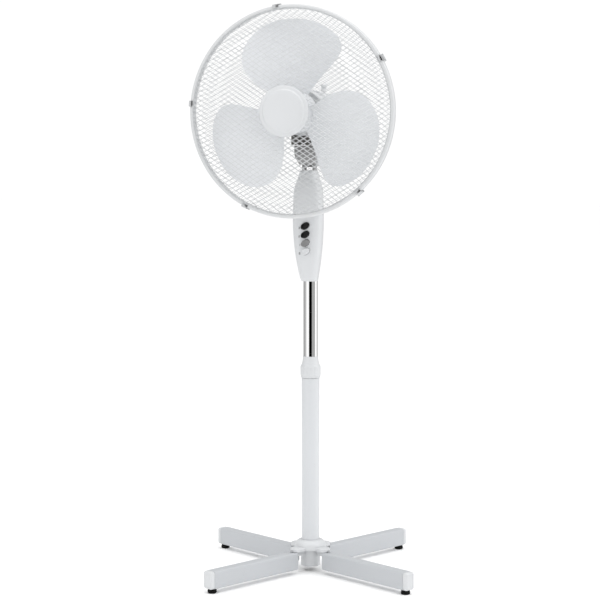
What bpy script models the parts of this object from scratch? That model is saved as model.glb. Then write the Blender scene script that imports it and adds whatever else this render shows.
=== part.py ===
"""A 40 cm pedestal fan on a cross base, with its mesh guards, motor and sweep gear.

Run with: blender --background --python part.py
Metres, +Z up. The pole stands on the Z axis, the floor is at z = 0 and the fan faces -Y.
"""

import math

import bmesh
import bpy
from mathutils import Matrix, Vector

# ---- fits and round pieces ----
GAP = 0.0003            # between two still pieces that touch
RUNNING = 0.0001        # radial play of a piece that slides or turns
ROUND = 24              # sides of a large round piece
FINE = 12               # sides of a small round piece

# ---- cross base ----
LEG_TURN = math.radians(60.0)
LEG_COUNT = 4
FOOT_CIRCLE = 0.272
FOOT_HEIGHT = 0.009
FOOT_RADIUS = 0.0095
FOOT_STEM = 0.0030
FOOT_STEM_LENGTH = 0.0075
LEG_WIDTH = 0.024
LEG_HEIGHT = 0.036
LEG_WALL = 0.0015
LEG_CORNER = 0.0032
LEG_END_BEYOND_FOOT = 0.003
CAP_LENGTH = 0.010
CAP_PLUG_LENGTH = 0.013
LEG_SCREW_RADIUS = 0.0025
LEG_SCREW_HEAD = 0.0045
LEG_SCREW_HEAD_HEIGHT = 0.0030
HUB_WALL = 0.0012
HUB_FLOOR = 0.003
HUB_TO_LEG = 0.0264
PLATE_HEIGHT = 0.0077
TONGUE_OVERLAP = 0.0065
TONGUE_SIDE = 0.0015
TONGUE_FILLET = 0.0175
PLUG_LENGTH = 0.0195
WEB_HALF = 0.0028
DOME_REACH = 0.0138
DOME_HEIGHT = 0.014

# ---- pole ----
POLE_WALL = 0.0015
POLE_TOP = 0.4070
SLEEVE_GAP = 0.0021
MAST_RADIUS = 0.0150
MAST_WALL = 0.0012
MAST_BOTTOM = 0.190
MAST_TOP = 0.655
BUSH_LENGTH = 0.015
COLLAR_HEIGHT = 0.0447
COLLAR_GRIP = 0.0065
COLLAR_LOBES = 10

# ---- control box ----
BOX_BOTTOM = 0.609
BOX_TOP = 0.838
BOX_WALL = 0.0020
BOX_SPLIT_Y = -0.010
BUTTON_TOP_Z = 0.7245
BUTTON_PITCH = 0.0175
BUTTON_LONG = 0.0096
BUTTON_SHORT = 0.0065
BUTTON_TILT = math.radians(33.0)
BUTTON_PROUD = 0.0060
BUTTON_TRAVEL = 0.004
BUTTON_PLAY = 0.0004
SWITCH_WIDTH = 0.022
SWITCH_DEPTH = 0.014
GLAND_Z = 0.676
GLAND_RADIUS = 0.0042
GLAND_BORE = 0.0028

# ---- neck ----
TILT_Y = -0.008
TILT_Z = 0.856
TILT_BOLT = 0.0030
BRACKET_HEIGHT = 0.016
EAR_THICKNESS = 0.0035
EAR_RADIUS = 0.0110
EAR_FOOT = 0.0125
TONGUE_HALF = 0.0090
NECK_HALF = 0.0225
NECK_FRONT = 0.0443
NECK_TOP = 0.8805
NECK_UNDERSIDE = 0.871
SWEEP_Y = -0.012
SWEEP_PIN = 0.0040
SWEEP_BOSS = 0.0065
STUD_REACH = 0.0185
STUD_RADIUS = 0.0020

# ---- motor and sweep gear, distances ahead of the pole axis ----
HEAD_Z = 0.9536
MOTOR_RADIUS = 0.046
MOTOR_WALL = 0.0022
MOTOR_FRONT = 0.066
MOTOR_BACK = 0.002
BOSS_RADIUS = 0.0130
BOSS_FRONT = 0.084
CHIN_HALF = 0.026
CHIN_BOTTOM = 0.889
REAR_STEP = 0.002
REAR_WALL = 0.0020
BEND_SHARE = 0.7083
FLOOR_SHARE = 0.5521
REAR_LENGTH = 0.080
SHAFT_RADIUS = 0.0040
BEARING_RADIUS = 0.0089
STATOR_PLAY = 0.0038
BORE_SHARE = 0.5875
STATOR_LENGTH = 0.034
ROTOR_GAP = 0.0006
WINDING_BARS = 6
WORM_RADIUS = 0.0045
WORM_DISTANCE = 0.048
WHEEL_X = 0.0145
WHEEL_TEETH = 16
PINION_RADIUS = 0.0050
PINION_TEETH = 8
CRANK_X = -0.0065
CRANK_TEETH = 24
CRANK_THROW = 0.0110
CRANK_PIN = 0.0022
CLUTCH_ROD = 0.0018
CLUTCH_FOOT = 0.0058

# ---- guards and blade ----
GUARD_RADIUS = 0.2106
RIM_WIDTH = 0.0085
RIM_PLANE = 0.138
RIM_DEPTH = 0.010
FRONT_DOME = 0.0425
REAR_DOME = 0.065
WIRE_RADIUS = 0.0011
WIRE_SPACING = 0.3324   # share of the guard's radius
WIRE_SLOPE = math.radians(32.0)
WIRE_LAP = 0.0004
PLATE_RADIUS = 0.046
GUARD_PLATE = 0.0034
NUT_RADIUS = 0.028
CAP_RADIUS = 0.050
CAP_FACE = 0.0411
CAP_FRONT = 0.196
CLIP_ANGLES = tuple(math.radians(a) for a in (29.3, 98.3, 175.1, 242.9, 311.4))
CLIP_WIDTH = 0.012
CLIP_THICKNESS = 0.0015
BLADE_COUNT = 3
BLADE_START = math.radians(92.5)
BLADE_TIP = 0.185
BLADE_MIDDLE = 0.1215
BLADE_PITCH = 0.036
BLADE_THICKNESS = 0.0022
BLADE_HUB = 0.041
BLADE_HUB_WALL = 0.0020
BLADE_BOSS = 0.0160
BLADE_HUB_BACK = 0.0905
BLADE_HUB_FRONT = 0.1425
SPINNER_RADIUS = 0.016
SPINNER_LENGTH = 0.0165

# ---- sizes that follow from the ones above ----
LEG_TOP = FOOT_HEIGHT + LEG_HEIGHT
LEG_END = FOOT_CIRCLE + LEG_END_BEYOND_FOOT
POLE_RADIUS = MAST_RADIUS + SLEEVE_GAP + POLE_WALL
HUB_RADIUS = POLE_RADIUS + GAP + HUB_WALL
LEG_START = HUB_RADIUS + HUB_TO_LEG
TONGUE_REACH = LEG_START + TONGUE_OVERLAP
DOME_RADIUS = POLE_RADIUS + DOME_REACH
BORE_LOW = FOOT_HEIGHT + LEG_WALL + GAP
BORE_HIGH = LEG_TOP - LEG_WALL - GAP
HUB_BOTTOM = FOOT_HEIGHT + 0.0015
PLATE_BOTTOM = LEG_TOP + GAP
PLATE_TOP = PLATE_BOTTOM + PLATE_HEIGHT
LEG_SCREW_CIRCLE = LEG_START + 0.0095
LEG_SCREW_TOP = BORE_LOW + 0.012
COLLAR_BOTTOM = POLE_TOP + 0.0006
COLLAR_TOP = COLLAR_BOTTOM + COLLAR_HEIGHT
COLLAR_GRIP_RADIUS = MAST_RADIUS + COLLAR_GRIP
POLE_BORE = POLE_RADIUS - POLE_WALL
HEAD_TURN = (math.radians(90.0), 0.0, 0.0)
WHEEL_RADIUS = WHEEL_X - WORM_RADIUS - 0.0005
CRANK_RADIUS = WHEEL_X - CRANK_X - PINION_RADIUS - GAP
REAR_RADIUS = MOTOR_RADIUS + REAR_STEP
REAR_BEND = BEND_SHARE * REAR_RADIUS
GEARBOX_FLOOR_TOP = HEAD_Z - FLOOR_SHARE * REAR_RADIUS
EAR_INNER = TONGUE_HALF + GAP
EAR_OUTER = EAR_INNER + EAR_THICKNESS
WIRE_PITCH = WIRE_SPACING * GUARD_RADIUS
STATOR_RADIUS = MOTOR_RADIUS - MOTOR_WALL - STATOR_PLAY
STATOR_BORE = BORE_SHARE * STATOR_RADIUS
WINDING_CIRCLE = (STATOR_RADIUS + STATOR_BORE) / 2 - 0.002
WINDING_BAR = 0.17 * (STATOR_RADIUS - STATOR_BORE)

parts = bpy.data.collections.new("pedestal_fan")
cutters = bpy.data.collections.new("cutters")


# ---- tools of the trade ----
def clear_scene():
    for obj in list(bpy.data.objects):
        bpy.data.objects.remove(obj, do_unlink=True)
    for group in (parts, cutters):
        bpy.context.scene.collection.children.link(group)


def finish(name, color, roughness, metallic=0.0):
    material = bpy.data.materials.new(name)
    material.use_nodes = True
    shader = material.node_tree.nodes["Principled BSDF"]
    shader.inputs["Base Color"].default_value = (*color, 1.0)
    shader.inputs["Roughness"].default_value = roughness
    shader.inputs["Metallic"].default_value = metallic
    return material


def place(name, mesh, material, location=(0, 0, 0), rotation=(0, 0, 0)):
    obj = bpy.data.objects.new(name, mesh)
    obj.location = location
    obj.rotation_euler = rotation
    if material is None:
        cutters.objects.link(obj)
        obj.hide_render = True
        obj.display_type = "WIRE"
    else:
        parts.objects.link(obj)
        mesh.materials.append(material)
    return obj


def turned(name, profile, material, location=(0, 0, 0), rotation=(0, 0, 0), steps=ROUND):
    """A profile of (radius, height) points, turned about its own Z."""
    mesh = bpy.data.meshes.new(name)
    shape = bmesh.new()
    verts = [shape.verts.new((radius, 0.0, height)) for radius, height in profile]
    for first, second in zip(verts, verts[1:]):
        shape.edges.new((first, second))
    if profile[0][0] > 0.0:
        shape.edges.new((verts[-1], verts[0]))
    shape.to_mesh(mesh)
    shape.free()
    obj = place(name, mesh, material, location, rotation)
    screw = obj.modifiers.new("turn", "SCREW")
    screw.steps = steps
    screw.render_steps = steps
    screw.use_merge_vertices = True
    screw.merge_threshold = 0.00001
    screw.use_smooth_shade = True
    return obj


def disc(radius, low, high, bore=0.0):
    """The profile of a washer, or of a plain cylinder where there is no bore."""
    return [(bore, high), (radius, high), (radius, low), (bore, low)]


def box(name, low, high, material, location=(0, 0, 0), rotation=(0, 0, 0), edge=0.0):
    """A block between two corners, given relative to its location."""
    mesh = bpy.data.meshes.new(name)
    shape = bmesh.new()
    bmesh.ops.create_cube(shape, size=1.0)
    size = Vector(high) - Vector(low)
    middle = (Vector(high) + Vector(low)) / 2
    bmesh.ops.scale(shape, vec=size, verts=shape.verts)
    bmesh.ops.translate(shape, vec=middle, verts=shape.verts)
    shape.to_mesh(mesh)
    shape.free()
    obj = place(name, mesh, material, location, rotation)
    if edge:
        bevel = obj.modifiers.new("edges", "BEVEL")
        bevel.width = edge
        bevel.segments = 1
        bevel.limit_method = "ANGLE"
    return obj


def plate(name, outlines, thickness, material, location=(0, 0, 0), rotation=(0, 0, 0)):
    """A flat outline with its holes, drawn in X and Y and half its thickness each way."""
    curve = bpy.data.curves.new(name, "CURVE")
    curve.dimensions = "2D"
    curve.fill_mode = "BOTH"
    curve.extrude = thickness / 2
    for outline in outlines:
        spline = curve.splines.new("POLY")
        spline.points.add(len(outline) - 1)
        for point, (x, y) in zip(spline.points, outline):
            point.co = (x, y, 0.0, 1.0)
        spline.use_cyclic_u = True
    flat = place(name + "_outline", curve, None)
    return solid_of(name, flat, material, location, rotation)


def solid_of(name, curve_object, material, location=(0, 0, 0), rotation=(0, 0, 0)):
    """The mesh of a curve object, with its caps welded; the curve is removed."""
    bpy.context.view_layer.update()
    evaluated = curve_object.evaluated_get(bpy.context.evaluated_depsgraph_get())
    mesh = bpy.data.meshes.new_from_object(evaluated)
    shape = bmesh.new()
    shape.from_mesh(mesh)
    bmesh.ops.remove_doubles(shape, verts=shape.verts, dist=0.000005)
    bmesh.ops.recalc_face_normals(shape, faces=shape.faces)
    shape.to_mesh(mesh)
    shape.free()
    mesh.materials.clear()
    matrix = curve_object.matrix_world.copy()
    curve = curve_object.data
    bpy.data.objects.remove(curve_object, do_unlink=True)
    bpy.data.curves.remove(curve)
    obj = place(name, mesh, material, location, rotation)
    if matrix != Matrix.Identity(4):
        obj.matrix_world = matrix
    return obj


def combine(obj, other, operation, self_crossing=False):
    boolean = obj.modifiers.new(other.name, "BOOLEAN")
    boolean.operation = operation
    boolean.solver = "EXACT"
    boolean.object = other
    boolean.use_self = self_crossing
    return obj


def cut(obj, other):
    return combine(obj, other, "DIFFERENCE")


def join(obj, other, self_crossing=False):
    return combine(obj, other, "UNION", self_crossing)


def pivot(name, location, parent=None):
    """An empty on a joint's axis, which carries the pieces that move with it."""
    empty = bpy.data.objects.new(name, None)
    empty.empty_display_size = 0.03
    parts.objects.link(empty)
    empty.location = location
    if parent is not None:
        attach(parent, empty)
    return empty


def attach(parent, *children):
    bpy.context.view_layer.update()
    for child in children:
        child.parent = parent
        child.matrix_parent_inverse = parent.matrix_world.inverted()


def circle(radius, count, centre=(0.0, 0.0)):
    steps = (math.tau * i / count for i in range(count))
    return [(centre[0] + radius * math.cos(a), centre[1] + radius * math.sin(a)) for a in steps]


def arc(centre, radius, start, end, count):
    steps = (start + (end - start) * i / (count - 1) for i in range(count))
    return [(centre[0] + radius * math.cos(a), centre[1] + radius * math.sin(a)) for a in steps]


def rounded_rectangle(width, height, corner, count=3):
    outline = []
    for index, (sx, sy) in enumerate(((1, 1), (-1, 1), (-1, -1), (1, -1))):
        centre = (sx * (width / 2 - corner), sy * (height / 2 - corner))
        start = index * math.pi / 2
        outline += arc(centre, corner, start, start + math.pi / 2, count)
    return outline


def gear_outline(teeth, tip, root):
    outline = []
    for tooth in range(teeth):
        for share, radius in ((0.0, root), (0.5, tip)):
            angle = math.tau * (tooth + share) / teeth
            outline.append((radius * math.cos(angle), radius * math.sin(angle)))
    return outline


def around(radius, angle, height):
    return (radius * math.cos(angle), radius * math.sin(angle), height)


# ---- materials ----
def make_materials():
    return {
        "white_paint": finish("white_paint", (0.80, 0.81, 0.82), 0.35),
        "white_plastic": finish("white_plastic", (0.82, 0.83, 0.84), 0.38),
        "blade_plastic": finish("blade_plastic", (0.74, 0.76, 0.77), 0.35),
        "chrome": finish("chrome", (0.88, 0.88, 0.88), 0.06, 1.0),
        "steel": finish("steel", (0.55, 0.56, 0.57), 0.32, 1.0),
        "core_steel": finish("core_steel", (0.30, 0.31, 0.33), 0.5, 1.0),
        "copper": finish("copper", (0.55, 0.24, 0.12), 0.4, 1.0),
        "bronze": finish("bronze", (0.50, 0.36, 0.18), 0.4, 1.0),
        "rubber": finish("rubber", (0.02, 0.02, 0.02), 0.75),
        "black_plastic": finish("black_plastic", (0.03, 0.03, 0.03), 0.3),
        "grey_plastic": finish("grey_plastic", (0.28, 0.28, 0.28), 0.45),
        "dark_plastic": finish("dark_plastic", (0.09, 0.085, 0.08), 0.5),
        "gear_plastic": finish("gear_plastic", (0.72, 0.70, 0.62), 0.5),
    }


# ---- the cross base ----
def leg_angle(index):
    return LEG_TURN + index * math.tau / LEG_COUNT


def make_leg(index, paint):
    angle = leg_angle(index)
    length = LEG_END - LEG_START
    middle = around(LEG_START + length / 2, angle, FOOT_HEIGHT + LEG_HEIGHT / 2)
    inner = rounded_rectangle(LEG_WIDTH - 2 * LEG_WALL, LEG_HEIGHT - 2 * LEG_WALL, LEG_CORNER - LEG_WALL)
    outlines = [rounded_rectangle(LEG_WIDTH, LEG_HEIGHT, LEG_CORNER), inner]
    turn = (math.radians(90.0), 0.0, angle + math.radians(90.0))
    leg = plate(f"leg_{index + 1}", outlines, length, paint, middle, turn)
    stem_hole = turned(
        f"foot_hole_{index + 1}", disc(FOOT_STEM + GAP, 0.0, 2 * LEG_WALL + FOOT_HEIGHT), None,
        around(FOOT_CIRCLE, angle, 0.0), steps=FINE,
    )
    screw_hole = turned(
        f"leg_screw_hole_{index + 1}", disc(LEG_SCREW_RADIUS + GAP, 0.0, 2 * LEG_WALL + FOOT_HEIGHT), None,
        around(LEG_SCREW_CIRCLE, angle, 0.0), steps=FINE,
    )
    cut(leg, stem_hole)
    cut(leg, screw_hole)
    return leg


def make_leg_cap(index, plastic):
    angle = leg_angle(index)
    turn = (math.radians(90.0), 0.0, angle + math.radians(90.0))
    height = FOOT_HEIGHT + LEG_HEIGHT / 2
    outside = around(LEG_END + GAP + CAP_LENGTH / 2, angle, height)
    cap = plate(
        f"leg_cap_{index + 1}", [rounded_rectangle(LEG_WIDTH, LEG_HEIGHT, LEG_CORNER)],
        CAP_LENGTH, plastic, outside, turn,
    )
    bevel = cap.modifiers.new("edges", "BEVEL")
    bevel.width = 0.0016
    bevel.segments = 1
    bevel.limit_method = "ANGLE"
    bevel.angle_limit = math.radians(50.0)
    inside = 2 * (LEG_WALL + GAP)
    plug = plate(
        f"cap_plug_{index + 1}", [rounded_rectangle(LEG_WIDTH - inside, LEG_HEIGHT - inside, LEG_CORNER - LEG_WALL)],
        CAP_PLUG_LENGTH + CAP_LENGTH / 2, None,
        around(LEG_END + GAP + CAP_LENGTH / 4 - CAP_PLUG_LENGTH / 2, angle, height), turn,
    )
    hole = turned(
        f"cap_hole_{index + 1}", disc(FOOT_STEM + GAP, 0.0, FOOT_HEIGHT + FOOT_STEM_LENGTH + GAP), None,
        around(FOOT_CIRCLE, angle, 0.0), steps=FINE,
    )
    join(cap, plug)
    cut(cap, hole)
    return cap


def make_foot(index, rubber):
    top = FOOT_HEIGHT + FOOT_STEM_LENGTH
    profile = [
        (0.0, top),
        (FOOT_STEM, top),
        (FOOT_STEM, FOOT_HEIGHT - GAP),
        (FOOT_RADIUS - 0.0010, FOOT_HEIGHT - GAP),
        (FOOT_RADIUS, FOOT_HEIGHT - 0.0025),
        (FOOT_RADIUS - 0.0003, 0.0015),
        (FOOT_RADIUS - 0.0015, 0.0),
        (0.0, 0.0),
    ]
    return turned(f"foot_{index + 1}", profile, rubber, around(FOOT_CIRCLE, leg_angle(index), 0.0), steps=FINE)


def make_leg_screw(index, steel):
    seat = FOOT_HEIGHT - GAP
    profile = [
        (0.0, LEG_SCREW_TOP),
        (LEG_SCREW_RADIUS, LEG_SCREW_TOP),
        (LEG_SCREW_RADIUS, seat),
        (LEG_SCREW_HEAD, seat),
        (LEG_SCREW_HEAD - 0.001, seat - LEG_SCREW_HEAD_HEIGHT),
        (0.0, seat - LEG_SCREW_HEAD_HEIGHT),
    ]
    spot = around(LEG_SCREW_CIRCLE, leg_angle(index), 0.0)
    return turned(f"leg_screw_{index + 1}", profile, steel, spot, steps=12)


def make_base_hub(plastic):
    bore = POLE_RADIUS + GAP
    crown = DOME_RADIUS - bore
    profile = [(0.0, HUB_BOTTOM + HUB_FLOOR), (bore, HUB_BOTTOM + HUB_FLOOR)]
    for step in range(4):
        angle = math.pi / 2 * (1 - step / 3)
        rise = PLATE_TOP - 0.0005 + DOME_HEIGHT * math.sin(angle)
        profile.append((bore + crown * math.cos(angle), rise))
    profile += [
        (DOME_RADIUS, PLATE_BOTTOM + 0.0015),
        (HUB_RADIUS, PLATE_BOTTOM + 0.0015),
        (HUB_RADIUS, HUB_BOTTOM),
        (0.0, HUB_BOTTOM),
    ]
    hub = turned("base_hub", profile, plastic)
    half = LEG_WIDTH / 2 + TONGUE_SIDE
    outline = []
    for index in range(LEG_COUNT):
        angle = leg_angle(index)
        centre = around(TONGUE_REACH - half, angle, 0.0)
        outline += arc(centre, half, angle - math.pi / 2, angle + math.pi / 2, 5)
        corner = around((half + TONGUE_FILLET) * math.sqrt(2), angle + math.pi / LEG_COUNT, 0.0)
        outline += arc(corner, TONGUE_FILLET, angle + 3 * math.pi / 2, angle + math.pi, 5)
    tongues = plate("hub_tongues", [outline, circle(bore + 0.004, ROUND)], PLATE_HEIGHT, None,
                    (0.0, 0.0, PLATE_BOTTOM + PLATE_HEIGHT / 2))
    join(hub, tongues)
    for index in range(LEG_COUNT):
        turn = (0.0, 0.0, leg_angle(index))
        web = box(f"hub_web_{index + 1}", (bore + 0.0005, -WEB_HALF, BORE_LOW),
                  (LEG_START + 0.004, WEB_HALF, BORE_HIGH), None, rotation=turn)
        side = LEG_WIDTH / 2 - LEG_WALL - GAP
        plug = box(f"hub_plug_{index + 1}", (LEG_START + 0.0005, -side, BORE_LOW),
                   (LEG_START + PLUG_LENGTH, side, BORE_HIGH), None, rotation=turn, edge=LEG_CORNER - LEG_WALL)
        hole = turned(
            f"hub_hole_{index + 1}", disc(LEG_SCREW_RADIUS + GAP, BORE_LOW - 0.004, LEG_SCREW_TOP + GAP), None,
            around(LEG_SCREW_CIRCLE, leg_angle(index), 0.0), steps=12,
        )
        join(hub, web)
        join(hub, plug)
        cut(hub, hole)
    return hub


# ---- the pole, the mast inside it and the collar that holds the height ----
def make_outer_pole(paint):
    bottom = HUB_BOTTOM + HUB_FLOOR + GAP
    return turned("outer_pole", disc(POLE_RADIUS, bottom, POLE_TOP, POLE_BORE), paint)


def make_collet(plastic):
    bore = MAST_RADIUS + RUNNING
    seat = POLE_TOP + GAP
    profile = [
        (bore, seat + 0.030),
        (bore + 0.0008, seat + 0.030),
        (bore + 0.0024, seat + 0.0215),
        (bore + 0.0024, seat + 0.0020),
        (POLE_RADIUS, seat + 0.0020),
        (POLE_RADIUS, seat),
        (POLE_BORE - GAP, seat),
        (POLE_BORE - GAP, seat - 0.018),
        (bore, seat - 0.018),
    ]
    return turned("collar_collet", profile, plastic)


def make_collar(plastic):
    bore = MAST_RADIUS + 2 * RUNNING + GAP
    seat = COLLAR_BOTTOM
    profile = [
        (bore, COLLAR_TOP),
        (bore + 0.0005, COLLAR_TOP),
        (MAST_RADIUS + 0.0021, COLLAR_TOP - 0.0114),
        (MAST_RADIUS + 0.0034, COLLAR_TOP - 0.0165),
        (MAST_RADIUS + 0.0055, COLLAR_TOP - 0.0195),
        (MAST_RADIUS + 0.0055, seat + 0.002),
        (POLE_RADIUS + 0.0012, seat),
        (POLE_RADIUS + GAP, seat),
        (POLE_RADIUS + GAP, seat + 0.0022),
        (MAST_RADIUS + 0.0030, seat + 0.0022),
        (MAST_RADIUS + 0.0030, seat + 0.0220),
        (MAST_RADIUS + 0.0013, seat + 0.0305),
        (bore, seat + 0.0330),
    ]
    collar = turned("height_collar", profile, plastic)
    swell = COLLAR_GRIP - 0.0050
    outline = []
    for step in range(COLLAR_LOBES * 4):
        angle = math.tau * step / (COLLAR_LOBES * 4)
        radius = COLLAR_GRIP_RADIUS - swell * (0.5 - 0.5 * math.cos(COLLAR_LOBES * angle)) ** 2
        outline.append((radius * math.cos(angle), radius * math.sin(angle)))
    grip_height = 0.0200
    grip = plate("collar_grip", [outline, circle(MAST_RADIUS + 0.0045, ROUND)], grip_height, None,
                 (0.0, 0.0, seat + 0.0040 + grip_height / 2))
    return join(collar, grip)


def make_mast(chrome):
    return turned("inner_pole", disc(MAST_RADIUS, MAST_BOTTOM, MAST_TOP, MAST_RADIUS - MAST_WALL), chrome)


def make_mast_bush(plastic):
    spigot = MAST_RADIUS - MAST_WALL - GAP
    bore = spigot - 0.0045
    flange_top = MAST_BOTTOM - GAP
    profile = [
        (bore, MAST_BOTTOM + 0.014),
        (spigot, MAST_BOTTOM + 0.014),
        (spigot, flange_top),
        (POLE_BORE - RUNNING, flange_top),
        (POLE_BORE - RUNNING, flange_top - BUSH_LENGTH),
        (bore, flange_top - BUSH_LENGTH),
    ]
    return turned("inner_pole_bush", profile, plastic)


# ---- the control box ----
BOX_LEVELS = (
    # share of the height, half width, distance ahead of the pole of the front face, behind it of the back
    (0.000, MAST_RADIUS + 0.0018, MAST_RADIUS + 0.0045, MAST_RADIUS + 0.0022),
    (0.030, MAST_RADIUS + 0.0030, MAST_RADIUS + 0.0095, MAST_RADIUS + 0.0030),
    (0.140, MAST_RADIUS + 0.0076, 0.0315, MAST_RADIUS + 0.0034),
    (0.240, 0.0260, 0.0360, MAST_RADIUS + 0.0036),
    (0.370, 0.0290, 0.0388, MAST_RADIUS + 0.0038),
    (0.530, 0.0308, 0.0402, MAST_RADIUS + 0.0040),
    (0.700, 0.0302, 0.0398, MAST_RADIUS + 0.0040),
    (0.821, 0.0286, 0.0386, MAST_RADIUS + 0.0040),
    (0.880, 0.0252, 0.0370, MAST_RADIUS + 0.0036),
    (0.924, 0.0215, 0.0350, MAST_RADIUS + 0.0032),
    (1.000, EAR_OUTER + 0.0037, 0.0300, MAST_RADIUS + 0.0026),
)


def box_section(half, front, back, inset):
    """One level of the box: squarer at the front than at the back."""
    middle = 0.36 * front
    outline = []
    for step in range(20):
        angle = math.tau * step / 20
        ahead = math.sin(angle) < 0.0
        power = 2 / 3.6 if ahead else 2 / 2.1
        depth = (front - middle if ahead else back + middle) - inset
        x = (half - inset) * math.copysign(abs(math.cos(angle)) ** power, math.cos(angle))
        y = depth * math.copysign(abs(math.sin(angle)) ** power, math.sin(angle)) - middle
        outline.append((x, y))
    return outline


def box_front(height):
    """How far ahead of the pole axis the front face is at a height."""
    share = (height - BOX_BOTTOM) / (BOX_TOP - BOX_BOTTOM)
    for low, high in zip(BOX_LEVELS, BOX_LEVELS[1:]):
        if low[0] <= share <= high[0]:
            blend = (share - low[0]) / (high[0] - low[0])
            return low[2] + blend * (high[2] - low[2])
    return BOX_LEVELS[-1][2]


def box_loft(name, inset, bottom, top, material):
    """The box between two heights, drawn in from its outside by an inset."""
    mesh = bpy.data.meshes.new(name)
    shape = bmesh.new()
    rings = []
    for share, half, front, back in BOX_LEVELS:
        height = BOX_BOTTOM + share * (BOX_TOP - BOX_BOTTOM)
        height = min(max(height, bottom), top)
        ring = [shape.verts.new((x, y, height)) for x, y in box_section(half, front, back, inset)]
        rings.append(ring)
    for lower, upper in zip(rings, rings[1:]):
        count = len(lower)
        for i in range(count):
            shape.faces.new((lower[i], lower[(i + 1) % count], upper[(i + 1) % count], upper[i]))
    shape.faces.new(reversed(rings[0]))
    shape.faces.new(rings[-1])
    bmesh.ops.recalc_face_normals(shape, faces=shape.faces)
    shape.to_mesh(mesh)
    shape.free()
    return place(name, mesh, material)


def make_box_shell(name, plastic, low_y, high_y):
    shell = box_loft(name, 0.0, BOX_BOTTOM, BOX_TOP, plastic)
    inside = box_loft(name + "_inside", BOX_WALL, BOX_BOTTOM + BOX_WALL, BOX_TOP - BOX_WALL, None)
    pole_hole = turned(name + "_pole_hole", disc(MAST_RADIUS + GAP, BOX_BOTTOM - 0.01, MAST_TOP), None)
    neck_hole = box(
        name + "_neck_hole",
        (-EAR_OUTER - GAP, TILT_Y - EAR_FOOT - GAP, BOX_TOP - 0.01),
        (EAR_OUTER + GAP, TILT_Y + EAR_FOOT + GAP, BOX_TOP + 0.01),
        None,
    )
    half = box(name + "_half", (-0.05, low_y, BOX_BOTTOM - 0.02), (0.05, high_y, BOX_TOP + 0.02), None)
    cut(shell, inside)
    cut(shell, pole_hole)
    cut(shell, neck_hole)
    combine(shell, half, "INTERSECT")
    return shell


def button_spot(index):
    height = BUTTON_TOP_Z - index * BUTTON_PITCH
    return (0.0, -box_front(height) - BUTTON_PROUD, height)


def oval(grow):
    outline = []
    for x, y in circle(1.0, 20):
        long = (BUTTON_LONG + grow) * x
        short = (BUTTON_SHORT + grow) * y
        outline.append((
            long * math.cos(BUTTON_TILT) - short * math.sin(BUTTON_TILT),
            long * math.sin(BUTTON_TILT) + short * math.cos(BUTTON_TILT),
        ))
    return outline


def make_button(name, index, plastic):
    """A push button whose origin is the middle of its face; it slides along Y."""
    x, y, z = button_spot(index)
    length = BUTTON_PROUD + BOX_WALL + 0.0065
    button = plate(name, [oval(0.0)], length, plastic, (x, y + length / 2, z), HEAD_TURN)
    bevel = button.modifiers.new("edges", "BEVEL")
    bevel.width = 0.0012
    bevel.segments = 1
    bevel.limit_method = "ANGLE"
    bevel.angle_limit = math.radians(50.0)
    return button


def cut_button_holes(shell):
    for index in range(4):
        x, y, z = button_spot(index)
        hole = plate(f"button_hole_{index + 1}", [oval(BUTTON_PLAY)], 0.02, None, (x, y + 0.0035, z), HEAD_TURN)
        cut(shell, hole)


def switch_front():
    """The front of the switch block, just behind the lowest button pressed home."""
    lowest = button_spot(3)[1]
    return lowest + BUTTON_PROUD + BOX_WALL + 0.0065 + BUTTON_TRAVEL + 0.0006


def make_switch_block(plastic):
    top = BUTTON_TOP_Z + 0.009
    low = (-SWITCH_WIDTH / 2, switch_front(), MAST_TOP + GAP)
    high = (SWITCH_WIDTH / 2, switch_front() + SWITCH_DEPTH, top)
    return box("switch_block", low, high, plastic, edge=0.001)


def make_gland(rubber):
    back = BOX_LEVELS[4][3]
    profile = [
        (GLAND_BORE, 0.010),
        (GLAND_RADIUS - 0.0004, 0.010),
        (GLAND_RADIUS + 0.0014, GAP),
        (GLAND_RADIUS, GAP),
        (GLAND_RADIUS, -BOX_WALL - 0.0020),
        (GLAND_BORE, -BOX_WALL - 0.0020),
    ]
    turn = (math.radians(-90.0), 0.0, 0.0)
    return turned("cord_gland", profile, rubber, (0.0, back, GLAND_Z), turn, steps=FINE)


def make_gland_hole():
    spot = (0.0, BOX_LEVELS[4][3], GLAND_Z)
    turn = (math.radians(-90.0), 0.0, 0.0)
    return turned("gland_hole", disc(GLAND_RADIUS + GAP, -0.01, 0.01), None, spot, turn, steps=FINE)


# ---- the neck: bracket, tilting block, bolt and knob ----
def side_turn():
    """Draws an outline of (distance along Y, height) as a plate with its thickness along X."""
    return (math.radians(90.0), 0.0, math.radians(90.0))


def make_neck_bracket(plastic):
    floor = BOX_TOP - BOX_WALL - GAP
    base_half = BOX_LEVELS[-1][1] - BOX_WALL - 0.0020
    half = base_half - 0.0003
    foot = [
        (-half + 0.0032, -0.0235), (half - 0.0032, -0.0235), (half, -0.018), (half, -0.002),
        (half - 0.0070, 0.0080), (-half + 0.0070, 0.0080), (-half, -0.002), (-half, -0.018),
    ]
    bracket = plate("neck_bracket", [foot], BRACKET_HEIGHT, plastic, (0.0, 0.0, floor - BRACKET_HEIGHT / 2))
    drop = TILT_Z - floor + 0.006
    outline = arc((0.0, 0.0), EAR_RADIUS, 0.0, math.pi, 9)
    outline += [(-EAR_FOOT, -drop), (EAR_FOOT, -drop)]
    for side, label in ((-1, "left"), (1, "right")):
        middle = side * (EAR_INNER + EAR_THICKNESS / 2)
        ear = plate(f"ear_{label}", [outline], EAR_THICKNESS, None, (middle, TILT_Y, TILT_Z), side_turn())
        join(bracket, ear)
    hole = turned("bracket_bolt_hole", disc(TILT_BOLT + GAP, -0.03, 0.03), None, (0.0, TILT_Y, TILT_Z),
                  (0.0, math.radians(90.0), 0.0), steps=FINE)
    return cut(bracket, hole)


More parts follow.
